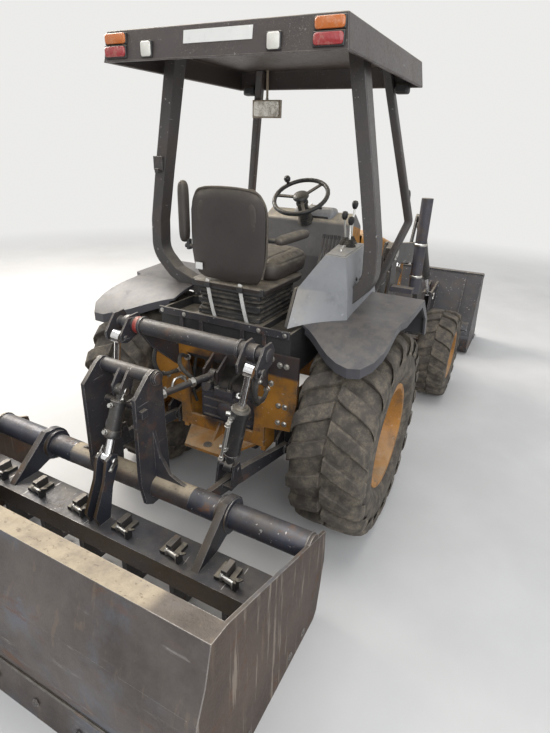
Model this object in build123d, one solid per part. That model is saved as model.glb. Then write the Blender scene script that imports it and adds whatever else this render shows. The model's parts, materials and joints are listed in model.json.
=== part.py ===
from build123d import *
import math
import os

# Tractor loader with a rear box scraper, in millimetres.
# X points forwards, Y to the left, Z up. While the pieces are made, X and Y start at the rear axle
# and Z at the ground; at the end everything is moved so that the origin is the middle of the base.

# Wheels
wheelbase = 2100.0
rear_tyre_radius = 634.0
rear_tyre_width = 451.0
rear_track_half = 754.0
rear_rim_radius = 305.0
front_tyre_radius = 419.0
front_tyre_width = 312.0
front_rim_radius = 210.0
lug_height = 38.0
flange_height = 20.0
rear_lug_count = 20
front_lug_count = 17
kingpin_half = 660.0
hub_reach = 200.0
front_track_half = kingpin_half + hub_reach
kingpin_radius = 18.0
steer_arm = 170.0
steer_rod_radius = 16.0
steer_rod_drop = 40.0

# Clearances
fit_gap = 0.3
pin_gap = 3.0
foot_pin_radius = 14.0

# Frame and running gear
rail_half = 300.0
rail_thick = 30.0
rail_low = 520.0
rail_high = 720.0
rail_rear_x = -380.0
rail_front_x = 2440.0
axle_tube_radius = 95.0
deck_rear_x = -380.0
rear_plate_x = -380.3
rear_plate_thick = 20.0
drawbar_hole_x = -550.0
drawbar_hole_radius = 16.0

# Operator station
floor_z = 1050.0
floor_thick = 20.0
seat_deck_z = 1250.0
deck_z = 1300.0
fender_radius = 735.0
plan_steps = 14
fender_inner_y = 436.3
fender_outer_y = 965.0
fender_thick = 14.0
fender_lip = 42.0
fender_top_x = -60.0
fender_right_edge = [(-250.0, 437.0), (-350.0, 580.0), (-420.0, 680.0), (-448.0, 770.0), (-440.0, 850.0),
                     (-390.0, 905.0), (-290.0, 935.0), (0.0, 955.0)]
fender_left_edge = [(-250.0, 437.0), (-340.0, 580.0), (-410.0, 700.0), (-455.0, 820.0), (-470.0, 890.0),
                    (-440.0, 945.0), (-360.0, 960.0), (0.0, 963.0)]
post_x = 0.0
post_deep = 100.0
post_wide = 75.0
front_post_size = 50.0
steer_wheel_at = (602.0, 1902.0)
steer_wheel_tilt = 32.0
canopy_rear_x = -436.0
canopy_front_x = 884.0
canopy_half = 656.0
canopy_low = 2565.0
canopy_high = 2700.0
canopy_wall = 25.0
work_lamp_y = (371.0, -318.0)
mirror_y = 390.0
canopy_inside = canopy_high - canopy_wall

# Front loader
tower_x = 1150.0
tower_z = 1500.0
arm_y = 520.0
arm_thick = 50.0
arm_pin_radius = 28.0
lift_y = 430.0
lift_base = (1300.0, 600.0)
lift_eye = (1870.0, 1340.0)
dump_base = (2060.0, 1660.0)
bucket_pin = (2950.0, 300.0)
dump_eye = (3100.0, 715.0)
bucket_half = 1037.0
bucket_lip_x = 4060.0
bucket_top = (3470.0, 940.0)
bucket_plate = 12.0
bucket_side = 14.0
bucket_heel_radius = 190.0

# Rear hitch
sway = 180.0
link_y = 405.0
link_pin = (-320.0, 550.0)
box_pin = (-900.0, 500.0)
link_thick = 32.0
link_lean_gap = 18.0
hitch_tube_at = (-690.0, 1300.0)
hitch_tube_half = 414.0
hitch_tube_radius = 44.0
hitch_pin_radius = 13.0
hitch_lug_half = 42.0
hitch_clevis_half = 46.0
hitch_eye = (-770.0, 1245.0)
hitch_foot = (-740.0, 630.0)
top_link_tractor = (-470.0, 1000.0)
top_link_mast = (-905.0, 980.0)

# Box scraper
box_half = 1067.0
end_plate_thick = 16.0
pipe_at = (-990.0, 560.0)
pipe_radius = 63.5
mast_half = 175.0
mast_plate = 22.0
mast_tube_at = (-950.0, 1170.0)
mast_tube_radius = 36.0
beam_x = (-1320.0, -1130.0)
beam_z = (335.0, 450.0)
shank_pitch = 305.0
shank_count = 6
shank_x = -1225.0
hanger_half = 620.0
ripper_top = (-1010.0, 1085.0)
ripper_eye = (-1150.0, 760.0)

# Cylinders: barrel and rod radii
lift_barrel_radius = 45.0
lift_rod_radius = 25.0
dump_barrel_radius = 42.0
dump_rod_radius = 22.0
hitch_barrel_radius = 45.0
hitch_rod_radius = 17.5
hitch_neck = 90.0
ripper_barrel_radius = 38.0
ripper_rod_radius = 20.0

# Travel from the parked pose, in degrees
lift_raise_deg = 80.0
bucket_curl_deg = 30.0
bucket_dump_deg = 105.0
hitch_raise_deg = 26.0
ripper_up_deg = 20.0
ripper_down_deg = 15.0

pieces = {}


def turned(at, centre, degrees):
    """An (x, z) place turned about a centre, positive when a point ahead of it rises."""
    angle = math.radians(degrees)
    x = at[0] - centre[0]
    z = at[1] - centre[1]
    return (centre[0] + x * math.cos(angle) - z * math.sin(angle),
            centre[1] + x * math.sin(angle) + z * math.cos(angle))


def block(x, y, z):
    """Box between the low and high values of each axis."""
    size = [high - low for low, high in (x, y, z)]
    middle = [(high + low) / 2 for low, high in (x, y, z)]
    return Pos(*middle) * Box(*size)


def side_plate(points, y_low, y_high):
    """Plate whose outline lies in the X-Z plane."""
    outline = Polyline([(x, y_low, z) for x, z in points], close=True)
    return extrude(make_face(outline), amount=y_high - y_low, dir=(0, 1, 0))


def cross_plate(points, x_low, x_high):
    """Plate whose outline lies in the Y-Z plane."""
    outline = Polyline([(x_low, y, z) for y, z in points], close=True)
    return extrude(make_face(outline), amount=x_high - x_low, dir=(1, 0, 0))


def flat_plate(points, z_low, z_high):
    """Plate whose outline lies in the X-Y plane."""
    outline = Polyline([(x, y, z_low) for x, y in points], close=True)
    return extrude(make_face(outline), amount=z_high - z_low, dir=(0, 0, 1))


def rod(start, end, radius):
    """Round bar between two points."""
    a = Vector(*start)
    b = Vector(*end)
    return extrude(Plane(a, z_dir=b - a) * Circle(radius), amount=(b - a).length)


def pin_y(at, y_low, y_high, radius):
    """Round bar along Y at an (x, z) place."""
    return rod((at[0], y_low, at[1]), (at[0], y_high, at[1]), radius)


def both_sides(solid):
    """The piece and its mirror image in the X-Z plane."""
    return solid + mirror(solid, about=Plane.XZ)


def bent_bar(points, profile, radius):
    """Bar of one profile along a path with rounded corners."""
    path = FilletPolyline(*points, radius=radius)
    start_way = path % 0
    side_way = (0, 1, 0) if abs(start_way.X) > 0.9 else (1, 0, 0)
    return sweep(Plane(path @ 0, z_dir=start_way, x_dir=side_way) * profile, path=path)


def rounded_outline(points, corner, radius):
    """Face in the X-Z plane with one of its corners rounded."""
    face = make_face(Polyline([(x, 0, z) for x, z in points], close=True))
    x, z = points[corner]
    vertex = face.vertices().sort_by_distance((x, 0, z))[0]
    return face.face().fillet_2d(radius, [vertex])


def spun(points):
    """Solid turned about the Y axis from (y, radius) points."""
    outline = Polyline([(0, y, r) for y, r in points], close=True)
    return revolve(make_face(outline), axis=Axis.Y)


def barrel_and_rod(foot, eye, barrel_radius, rod_radius, closed_share, neck, draw_in, across=(0, 1, 0)):
    """A cylinder's two bodies from its foot pin to its rod's eye, which can draw in by a length."""
    a = Vector(*foot)
    b = Vector(*eye)
    way = (b - a).normalized()
    length = (b - a).length
    mouth = a + way * (length * closed_share)
    eye_radius = barrel_radius * 0.8
    eye_half = barrel_radius * 0.5
    across = Vector(*across)
    barrel = rod(a + way * neck, mouth, barrel_radius)
    barrel += rod(a + way * eye_radius * 0.5, a + way * (neck + 1), eye_half)
    barrel += rod(a - across * eye_half, a + across * eye_half, eye_radius)
    barrel -= rod(a + way * (neck + 20), mouth + way, rod_radius + fit_gap)
    stem = rod(a + way * (neck + 26 + draw_in), b - way * eye_radius * 0.5, rod_radius)
    stem += rod(b - across * eye_half, b + across * eye_half, eye_radius)
    return barrel, stem


# Wheels

def tyre(radius, width, rim_radius):
    """Carcass with round shoulders and bulging walls, open to the rim."""
    half = width / 2
    crown = radius - lug_height * radius / rear_tyre_radius
    bead = half * 0.8
    edge = Line((0, bead, rim_radius), (0, bead, rim_radius + flange_height + 4))
    wall = ThreePointArc(edge @ 1, (0, half * 0.985, (rim_radius + crown) / 2), (0, half * 0.93, crown - 25))
    tread = ThreePointArc(wall @ 1, (0, half * 0.5, crown - 4), (0, 0, crown))
    far_tread = mirror(tread, about=Plane.XZ)
    far_wall = mirror(wall, about=Plane.XZ)
    far_edge = mirror(edge, about=Plane.XZ)
    seat = Line((0, -bead, rim_radius), (0, bead, rim_radius))
    face = make_face(Curve() + [edge, wall, tread, far_tread, far_wall, far_edge, seat])
    return revolve(face, axis=Axis.Y)


def lugs(radius, width, count, slant):
    """Bars that run from each shoulder to the middle of the tread."""
    half = width / 2
    height = lug_height * radius / rear_tyre_radius
    root = radius - height * 1.9
    thick = 2 * math.pi * radius / count * 0.42
    bar = Pos(0, half * 0.5, (root + radius) / 2) * Rot(0, 0, slant) * Box(thick, half * 1.12, radius - root)
    ring = spun([(-half, root), (-half, radius - height * 0.9), (-half * 0.8, radius), (half * 0.8, radius),
                 (half, radius - height * 0.9), (half, root)])
    bar = bar & ring & block((-radius, radius), (fit_gap, half), (0, radius * 2))
    step = 360 / count
    left = [Rot(0, i * step, 0) * bar for i in range(count)]
    right = [Rot(0, (i + 0.5) * step, 0) * mirror(bar, about=Plane.XZ) for i in range(count)]
    return left + right


def rim(radius, width, disc_y, hub_radius, bore):
    """Drop-centre rim with a dished disc and a hub bore, disc towards +Y."""
    half = width * 0.4 + fit_gap
    seat = radius - fit_gap
    top = radius + flange_height
    barrel = spun([(-half, top), (-half, seat), (-half * 0.8, seat), (half * -0.3, seat - 40),
                   (half * 0.3, seat - 40), (half * 0.8, seat), (half, seat), (half, top), (half + 10, top),
                   (half + 10, seat - 12), (half * 0.35, seat - 52), (half * -0.35, seat - 52),
                   (-half - 10, seat - 12), (-half - 10, top)])
    disc = spun([(disc_y, bore), (disc_y + 16, bore), (disc_y + 16, hub_radius), (half * 0.2, seat - 46),
                 (half * 0.2 - 18, seat - 46), (disc_y, hub_radius)])
    return barrel + disc


def wheel(name, x, track, radius, width, rim_radius, disc_y, hub_radius, bore, side, lug_count, slant):
    """Tyre and rim of one wheel, each as its own piece."""
    body = tyre(radius, width, rim_radius) + lugs(radius, width, lug_count, slant)
    hoop = rim(rim_radius, width, disc_y, hub_radius, bore)
    cap = spun([(disc_y + 16, 0), (disc_y + 70, 0), (disc_y + 62, bore * 0.8), (disc_y + 16, bore * 1.1)])
    hoop += cap
    if side < 0:
        body = mirror(body, about=Plane.XZ)
        hoop = mirror(hoop, about=Plane.XZ)
    place = Pos(x, side * track, radius)
    pieces["tyre_" + name] = place * body
    pieces["rim_" + name] = place * hoop


rear_disc_y = -40.0
rear_bore = 78.0
front_disc_y = 20.0
front_bore = 62.0
for side, side_name in ((1, "left"), (-1, "right")):
    wheel("rear_" + side_name, 0, rear_track_half, rear_tyre_radius, rear_tyre_width, rear_rim_radius,
          rear_disc_y, 150.0, rear_bore, side, rear_lug_count, -38)
    wheel("front_" + side_name, wheelbase, front_track_half, front_tyre_radius, front_tyre_width,
          front_rim_radius, front_disc_y, 100.0, front_bore, side, front_lug_count, -25)

# Chassis


def rear_post(extra=0.0):
    """Left roll-over post, which bends inwards above the fender to the deck; extra widens it for a cut."""
    points = [(post_x, 398, deck_z + fit_gap), (post_x, 398, 1350), (post_x, 600, 1425), (post_x, 724, 1550),
              (post_x, 716, 1750), (post_x, 660, 2050), (post_x, 528, canopy_inside + 20)]
    section = Rectangle(post_deep + 2 * extra, post_wide + 2 * extra)
    bar = bent_bar(points, section, (60, 90, 150, 200, 200))
    return bar & block((-500, 500), (0, 1000), (0, canopy_inside - fit_gap))


def frame_rails():
    """Two deep rails with cross members and a nose plate."""
    rail = block((rail_rear_x, rail_front_x), (rail_half - rail_thick, rail_half), (rail_low, rail_high))
    rails = both_sides(rail)
    for x in (700.0, 1500.0, 2400.0):
        rails += block((x, x + 40), (-rail_half + rail_thick, rail_half - rail_thick), (rail_low + 20, rail_high - 20))
    return rails


def transaxle():
    """Rear axle casting with its tapered arms and flanges."""
    z = rear_tyre_radius
    body = block((-330, 330), (-190, 190), (z - 190, z + 230))
    body = fillet(body.edges().filter_by(Axis.Y), 60)
    inner = rear_track_half + rear_disc_y
    arm = Pos(0, 0, z) * spun([(185, 0), (185, 150), (rail_half - rail_thick, 120), (rail_half, 118),
                               (inner - 90, axle_tube_radius), (inner - 60, 150), (inner - fit_gap, 150),
                               (inner - fit_gap, 0)])
    rail_slot = block((-260, 400), (rail_half - rail_thick - fit_gap, rail_half + fit_gap),
                      (rail_low - fit_gap, rail_high + fit_gap))
    return body + both_sides(arm - rail_slot)


def rear_frame():
    """Upright plate behind the axle with one large opening, and the shelf below it."""
    low, high = 560.0, 1180.0
    plate = cross_plate([(-500, high), (500, high), (500, 900), (470, 720), (300, 700), (300, low), (-300, low),
                         (-300, 700), (-470, 720), (-500, 900)], rear_plate_x - rear_plate_thick, rear_plate_x)
    hole = cross_plate([(-250, 1060), (250, 1060), (215, 900), (235, 760), (225, 640), (-225, 640), (-235, 760),
                        (-215, 900)], rear_plate_x - 60, rear_plate_x + 60)
    plate -= hole
    shelf = flat_plate([(rear_plate_x, -240), (rear_plate_x, 240), (-600, 130), (-600, -130)], low - 20, low)
    web = side_plate([(rear_plate_x, low - 1), (rear_plate_x, 640), (-420, 640), (-500, low - 1)], -8, 8)
    shelf -= Pos(drawbar_hole_x, 0, low - 10) * Cylinder(drawbar_hole_radius, 40)
    return plate, shelf + web


pieces["frame_rails"] = frame_rails()
pieces["transaxle"] = transaxle()


def front_axle():
    """Oscillating axle beam with a centre casting, yokes for the knuckles and the steering cylinder."""
    z = front_tyre_radius
    beam = Pos(wheelbase, 0, z) * spun([(-500, 0), (-500, 62), (-160, 70), (-110, 125), (110, 125), (160, 70),
                                        (500, 62), (500, 0)])
    web = block((wheelbase - 28, wheelbase + 28), (470, 545), (z - 115, z + 115))
    arms = [block((wheelbase - 45, wheelbase + 45), (470, kingpin_half + 45), (z + low, z + low + 40))
            for low in (-115, 75)]
    saddle = side_plate([(wheelbase - 90, z + 60), (wheelbase + 90, z + 60), (wheelbase + 60, rail_high - 60),
                         (wheelbase - 60, rail_high - 60)], -70, 70)
    bolster = block((wheelbase - 60, wheelbase + 60), (-rail_half + rail_thick, rail_half - rail_thick),
                    (rail_high - 60, rail_high))
    steer_x = wheelbase - steer_arm
    steer_z = z - steer_rod_drop
    barrel = rod((steer_x, -210, steer_z), (steer_x, 210, steer_z), 34)
    lug = block((steer_x, wheelbase - 40), (150, 180), (steer_z - 25, steer_z + 40))
    kingpin = Pos(wheelbase, kingpin_half, z) * Cylinder(kingpin_radius, 240)
    axle = beam + both_sides(web + arms[0] + arms[1] + kingpin) + saddle + bolster + barrel + both_sides(lug)
    return axle - rod((steer_x, -260, steer_z), (steer_x, 260, steer_z), steer_rod_radius + fit_gap)


def knuckle():
    """Left steering knuckle between the yoke's arms, with the hub flange and the steering arm."""
    z = front_tyre_radius
    heart = Pos(wheelbase, kingpin_half, z) * Cylinder(38, 150 - 2 * pin_gap)
    hub_end = front_track_half + front_disc_y - fit_gap
    hub = Pos(wheelbase, 0, z) * spun([(kingpin_half, 0), (kingpin_half, 50), (kingpin_half + 60, 60),
                                       (hub_end - 40, 60), (hub_end - 40, 100), (hub_end, 100), (hub_end, 0)])
    end_x = wheelbase - steer_arm
    arm = flat_plate([(end_x, kingpin_half - 32), (end_x, kingpin_half + 12), (wheelbase - 30, kingpin_half + 40),
                      (wheelbase, kingpin_half + 40), (wheelbase, kingpin_half - 30),
                      (wheelbase - 30, kingpin_half - 25)], z - 20, z + 5)
    arm += Pos(end_x, kingpin_half - 10, z - 7.5) * Cylinder(22, 25)
    bore = Pos(wheelbase, kingpin_half, z) * Cylinder(kingpin_radius + fit_gap, 200)
    return heart + hub + arm - bore


def steering_rod():
    """Rod through the steering cylinder, out to both steering arms."""
    x = wheelbase - steer_arm
    z = front_tyre_radius - steer_rod_drop
    reach = kingpin_half + 5
    return rod((x, -reach, z), (x, reach, z), steer_rod_radius)


pieces["front_axle"] = front_axle()
pieces["knuckle_left"] = knuckle()
pieces["knuckle_right"] = mirror(knuckle(), about=Plane.XZ)
pieces["steering_rod"] = steering_rod()
plate, shelf = rear_frame()
pieces["rear_frame"] = plate + shelf


# Engine and hood

hood_half = 350.0
hood_rear_x = 960.0
hood_front_x = 2400.0
hood_rear_z = 1640.0
hood_front_z = 1330.0
hood_low_z = 930.0
hood_wall = 12.0
stack_y = -720.0
grille_rows = 10


def hood():
    """Sloping hood, open below and behind, with side openings for the mesh panels."""
    outline = [(hood_rear_x, hood_low_z), (hood_rear_x, hood_rear_z), (1300, hood_rear_z - 20),
               (hood_front_x - 60, hood_front_z), (hood_front_x, hood_front_z - 50), (hood_front_x, hood_low_z)]
    shell = side_plate(outline, -hood_half, hood_half)
    shell = fillet(shell.edges().filter_by(lambda e: abs(e.center().Z) > 1300 and abs(e.center().Y) > 300
                                           and abs((e % 0.5).Y) < 0.1), 40)
    inner = [(hood_rear_x - 50, hood_low_z - 20), (hood_rear_x - 50, hood_rear_z - hood_wall),
             (1300, hood_rear_z - 20 - hood_wall), (hood_front_x - 66, hood_front_z - hood_wall),
             (hood_front_x - hood_wall, hood_front_z - 58), (hood_front_x - hood_wall, hood_low_z - 20)]
    shell -= side_plate(inner, -hood_half + hood_wall, hood_half - hood_wall)
    window = side_plate([(1700, 1010), (1700, 1400), (2290, 1260), (2290, 1010)], -hood_half - 5, hood_half + 5)
    nose = block((hood_front_x - 40, hood_front_x + 40), (-270, 270), (990, 1230))
    return shell - window - nose


pieces["hood"] = hood()


def nose_grille():
    """Pressed grille: rows of slots between level slats, in three fields."""
    grille = block((hood_front_x - 11, hood_front_x - 3), (-270 + fit_gap, 270 - fit_gap),
                   (990 + fit_gap, 1230 - fit_gap))
    pitch = 210.0 / grille_rows
    for row in range(grille_rows):
        low = 1005 + row * pitch
        for middle in (-172, 0, 172):
            grille -= block((hood_front_x - 20, hood_front_x), (middle - 76, middle + 76), (low, low + pitch * 0.6))
    return grille


pieces["nose_grille"] = nose_grille()
side_mesh = side_plate([(1700.3, 1010.3), (1700.3, 1399.5), (2289.7, 1259.5), (2289.7, 1010.3)],
                       hood_half - 9, hood_half - 3)
pieces["side_screens"] = both_sides(side_mesh)
pieces["engine_block"] = block((1080, wheelbase - 60), (-230, 230), (rail_high + fit_gap, 1330))

# Front loader


def loader_tower():
    """Upright plate pairs at both sides of the hood, joined low down to the rails."""
    outline = [(1010, rail_low), (1265, rail_low), (1235, 900), (1215, 1500), (1180, 1575), (1120, 1575),
               (1085, 1500), (1040, 900)]
    inner_y = arm_y - arm_thick / 2 - pin_gap
    outer_y = arm_y + arm_thick / 2 + pin_gap
    tower = side_plate(outline, inner_y - 16, inner_y) + side_plate(outline, outer_y, outer_y + 16)
    tower += block((1020, 1250), (inner_y - 1, outer_y + 1), (rail_low, rail_low + 180))
    tower += block((1020, 1250), (rail_half + fit_gap, inner_y), (rail_low + 20, rail_low + 180))
    tower += pin_y((tower_x, tower_z), inner_y - 22, outer_y + 22, arm_pin_radius)
    foot_x, foot_z = lift_base
    half = lift_barrel_radius * 0.5 + pin_gap
    lug = side_plate([(1240, 560), (foot_x + 34, foot_z - 40), (foot_x + 34, foot_z + 34), (foot_x - 34, foot_z + 34),
                      (1240, 680)], 0, 14)
    tower += Pos(0, lift_y + half, 0) * lug + Pos(0, lift_y - half - 14, 0) * lug
    tower -= pin_y(lift_base, lift_y - half, lift_y + half, 60)
    tower += pin_y(lift_base, lift_y - half, lift_y + half, foot_pin_radius)
    return both_sides(tower)


def loader_arms():
    """Bent side arms from the tower to the bucket, joined by a cross tube."""
    outline = [(1120, 1430), (2020, 1270), (2146, 1194), (2614, 426), (2790, 232), (2960, 238), (3010, 300),
               (2970, 358), (2780, 500), (2270, 1310), (2110, 1440), (1160, 1572), (1090, 1540), (1080, 1460)]
    arm = side_plate(outline, arm_y - arm_thick / 2, arm_y + arm_thick / 2)
    arm -= pin_y((tower_x, tower_z), arm_y - arm_thick, arm_y + arm_thick, arm_pin_radius + fit_gap)
    eye_half = lift_barrel_radius * 0.5 + pin_gap
    boss = side_plate([(lift_eye[0] - 60, 1290), (lift_eye[0] + 60, 1290), (lift_eye[0] + 60, lift_eye[1] + 50),
                       (lift_eye[0] - 60, lift_eye[1] + 50)], lift_y + eye_half, arm_y)
    arm += boss
    arm += pin_y(lift_eye, lift_y + eye_half, arm_y, 20)
    barrel_half = dump_barrel_radius * 0.5 + pin_gap
    x, z = dump_base
    ear = side_plate([(x - 150, 1425), (x - 60, 1425), (x + 28, z - 28), (x + 28, z + 20), (x, z + 36),
                      (x - 34, z + 20)], 0, 14)
    arm += Pos(0, arm_y + barrel_half, 0) * ear + Pos(0, arm_y - barrel_half - 14, 0) * ear
    arm += block((x - 150, x - 60), (arm_y - barrel_half - 14, arm_y + barrel_half + 14), (1425, 1455))
    arm -= pin_y(dump_base, arm_y - barrel_half, arm_y + barrel_half, 50)
    arm += pin_y(dump_base, arm_y - barrel_half, arm_y + barrel_half, foot_pin_radius)
    arms = both_sides(arm)
    arms += pin_y((2640, 640), -arm_y, arm_y, 58)
    return arms


def bucket():
    """Wide bucket: curved back, flat floor, side plates, stiffener and lug pairs for the arms."""
    t = bucket_plate
    top_x, top_z = bucket_top
    rise_x, rise_z = 0.333, 0.943
    heel_x = top_x - top_z * rise_x / rise_z
    far = [(bucket_lip_x + 400, top_z + 400), (bucket_lip_x + 400, 0)]
    ahead = (bucket_lip_x + 500, t)
    above = (bucket_lip_x + 500, top_z + 500)
    inner_heel = (heel_x + t * (1 + rise_x) / rise_z, t)
    inner_top = (top_x + t / rise_z + 500 * rise_x, top_z + 500 * rise_z)
    outer = rounded_outline([(bucket_lip_x, 0), (heel_x, 0), bucket_top, far[0], far[1]], 1, bucket_heel_radius)
    inner = rounded_outline([ahead, inner_heel, inner_top, above], 1, bucket_heel_radius - t)
    strip = extrude(outer - inner, amount=2 * bucket_half, dir=(0, 1, 0))
    strip &= block((heel_x - 50, bucket_lip_x), (-1, 2 * bucket_half + 1), (-1, top_z + 1))
    cheek = rounded_outline([(bucket_lip_x - 25, 0), (heel_x, 0), bucket_top, (top_x + 130, top_z - 15),
                             (bucket_lip_x - 190, 330), (bucket_lip_x - 30, 60)], 1, bucket_heel_radius)
    cheek = extrude(cheek, amount=bucket_side, dir=(0, 1, 0))
    solid = Pos(0, -bucket_half, 0) * strip
    solid += both_sides(Pos(0, bucket_half - bucket_side, 0) * cheek)
    solid += block((top_x - 12, top_x + 70), (-bucket_half, bucket_half), (top_z - 18, top_z))
    solid += side_plate([(bucket_lip_x - 130, 0), (bucket_lip_x + 70, 0), (bucket_lip_x + 70, 4),
                         (bucket_lip_x + 30, 20), (bucket_lip_x - 130, 20)], -bucket_half - 6, bucket_half + 6)
    pair = arm_thick / 2 + pin_gap
    outline = [(bucket_pin[0] - 55, bucket_pin[1] - 40), (bucket_pin[0] + 10, bucket_pin[1] - 62), (3215, 190),
               (3420, 800), (dump_eye[0] + 40, dump_eye[1] + 45), (dump_eye[0] - 45, dump_eye[1] + 30),
               (dump_eye[0] - 45, dump_eye[1] - 60), (bucket_pin[0] - 55, bucket_pin[1] + 45)]
    lug = side_plate(outline, 0, 22)
    lugs_pair = Pos(0, arm_y + pair, 0) * lug + Pos(0, arm_y - pair - 22, 0) * lug
    lugs_pair += pin_y(bucket_pin, arm_y - pair - 22, arm_y + pair + 22, arm_pin_radius)
    for low, high in ((arm_y + pair - 1, arm_y + pair + 34), (arm_y - pair - 34, arm_y - pair + 1)):
        lugs_pair += pin_y(dump_eye, low, high, 20)
    solid += both_sides(lugs_pair)
    rib = [(3245, 300), (3200, 330), (3218, 400), (3280, 400)]
    solid += side_plate(rib, -bucket_half + 40, bucket_half - 40)
    return solid


pieces["loader_tower"] = loader_tower()
pieces["loader_arms"] = loader_arms() - pin_y(bucket_pin, -700, 700, arm_pin_radius + fit_gap)
pieces["bucket"] = bucket()


def cylinder_pair(name, foot, eye, y, barrel_radius, rod_radius, share, draw_in):
    """Like cylinders at both sides of the loader, as a barrel node and a rod node."""
    barrel, stem = barrel_and_rod((foot[0], y, foot[1]), (eye[0], y, eye[1]), barrel_radius, rod_radius, share,
                                  80.0, draw_in)
    pieces[name + "_barrels"] = both_sides(barrel)
    pieces[name + "_rods"] = both_sides(stem)
    pieces[name + "_barrels"] -= pin_y(foot, -600, 600, foot_pin_radius + fit_gap)


curled_eye = turned(dump_eye, bucket_pin, bucket_curl_deg)
dump_draw_in = math.dist(dump_base, dump_eye) - math.dist(dump_base, curled_eye)
cylinder_pair("lift", lift_base, lift_eye, lift_y, lift_barrel_radius, lift_rod_radius, 0.87, 0.0)
cylinder_pair("dump", dump_base, dump_eye, arm_y, dump_barrel_radius, dump_rod_radius, 0.72, dump_draw_in + 5)

# Rear hitch


def hitch_frame():
    """Cross tube above the rear plate with its brackets, and the top link's lugs."""
    x, z = hitch_tube_at
    tube = pin_y(hitch_tube_at, -hitch_tube_half, hitch_tube_half, hitch_tube_radius)
    bracket = side_plate([(x - 30, z - 20), (x + 20, z + 42), (rear_plate_x - 60, 1200),
                          (rear_plate_x - rear_plate_thick, 1175), (rear_plate_x - rear_plate_thick, 960),
                          (x + 60, 1160)], 300, 320)
    lug_half = 38.0
    lug = side_plate([(rear_plate_x - rear_plate_thick, 1100), (top_link_tractor[0] - 36, top_link_tractor[1] + 34),
                      (top_link_tractor[0] - 36, top_link_tractor[1] - 34), (rear_plate_x - rear_plate_thick, 1062)],
                     lug_half, lug_half + 14)
    top_lugs = both_sides(lug) + pin_y(top_link_tractor, -lug_half - 14, lug_half + 14, 12)
    return tube + both_sides(bracket), top_lugs


def hitch_clevises():
    """Ear plates at the cross tube's ends, with the pins of the lift cylinders' rods."""
    x, z = hitch_tube_at
    ex, ez = hitch_eye
    thick = 12
    outline = [(x - 40, z + 56), (x + 30, z + 60), (x + 62, z + 10), (x + 40, z - 52), (ex + 10, ez - 34),
               (ex - 30, ez - 20), (ex - 34, ez + 24)]
    near_face = hitch_tube_half - hitch_clevis_half
    far_face = hitch_tube_half + hitch_clevis_half
    near = side_plate(outline, near_face - thick, near_face)
    near -= pin_y(hitch_tube_at, 0, far_face, hitch_tube_radius + fit_gap)
    near += pin_y(hitch_eye, near_face - 2 * thick, near_face, 13)
    far = side_plate(outline, far_face, far_face + thick)
    far += pin_y(hitch_tube_at, hitch_tube_half + fit_gap, far_face + thick, 30)
    far += pin_y(hitch_eye, far_face, far_face + 2 * thick, 13)
    return both_sides(near + far)


def hitch_cylinder_line(side):
    """Foot, eye and foot pin's direction of one lift cylinder, at rest."""
    lean = sway / (box_pin[0] - link_pin[0])
    foot = Vector(hitch_foot[0], side * link_y + (hitch_foot[0] - link_pin[0]) * lean, hitch_foot[1])
    eye = Vector(hitch_eye[0], side * hitch_tube_half, hitch_eye[1])
    seen_x, seen_z = turned(hitch_eye, link_pin, hitch_raise_deg)
    raised = Vector(seen_x, eye.Y, seen_z)
    return foot, eye, (raised - foot).cross(eye - foot).normalized()


def lower_links():
    """Two flat links, leaning to the side on which the box hangs, with lugs for the lift cylinders."""
    solids = []
    for side in (1, -1):
        near_y = side * link_y
        far_y = side * link_y + sway
        lean = (far_y - near_y) / (box_pin[0] - link_pin[0])
        outline = [(link_pin[0], link_pin[1] - 30), (link_pin[0], link_pin[1] + 30),
                   (link_pin[0] - 300, link_pin[1] + 30), (box_pin[0], box_pin[1] + 32),
                   (box_pin[0], box_pin[1] - 32), (link_pin[0] - 300, link_pin[1] - 62)]
        start = [(x, near_y + (x - link_pin[0]) * lean - link_thick / 2, z) for x, z in outline]
        link = extrude(make_face(Polyline(*start, close=True)), amount=link_thick, dir=(0, 1, 0))
        link += pin_y(link_pin, near_y - link_thick / 2, near_y + link_thick / 2, 34)
        link += pin_y(box_pin, far_y - link_thick / 2, far_y + link_thick / 2, 34)
        foot, eye, across = hitch_cylinder_line(side)
        foot_y = foot.Y
        half = hitch_lug_half
        for shift in (half, -half - 12):
            lug = side_plate([(hitch_foot[0] - 60, 520), (hitch_foot[0] + 60, 520),
                              (hitch_foot[0] + 28, hitch_foot[1] + 26), (hitch_foot[0] - 28, hitch_foot[1] + 26)],
                             foot_y + shift, foot_y + shift + 12)
            link += lug
        link += block((hitch_foot[0] - 60, hitch_foot[0] + 60), (foot_y - half - 12, foot_y + half + 12), (520, 540))
        link += rod(foot - across * (half + 16), foot + across * (half + 16), hitch_pin_radius)
        link -= pin_y(link_pin, near_y - 60, near_y + 60, 20 + fit_gap)
        link -= pin_y(box_pin, far_y - 60, far_y + 60, 20 + fit_gap)
        solids.append(link)
    return solids[0] + solids[1]


tube, top_lugs = hitch_frame()
pieces["hitch_frame"] = tube
pieces["hitch_clevises"] = hitch_clevises()
pieces["rear_frame"] += top_lugs
pieces["lower_links"] = lower_links()


def link_mounts():
    """Lugs below the rear frame that carry the lower links' pins."""
    half = link_thick / 2 + link_lean_gap
    x, z = link_pin
    lug = side_plate([(x - 34, z - 34), (x + 60, z - 34), (x + 60, z + 120), (x - 34, z + 60)], 0, 14)
    lugs = Pos(0, link_y + half, 0) * lug + Pos(0, link_y - half - 14, 0) * lug
    lugs += pin_y(link_pin, link_y - half - 14, link_y + half + 14, 20)
    lugs += block((x + 59, x + 100), (rail_half + fit_gap, link_y + half + 14), (z - 34, z + 120))
    return both_sides(lugs)


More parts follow.
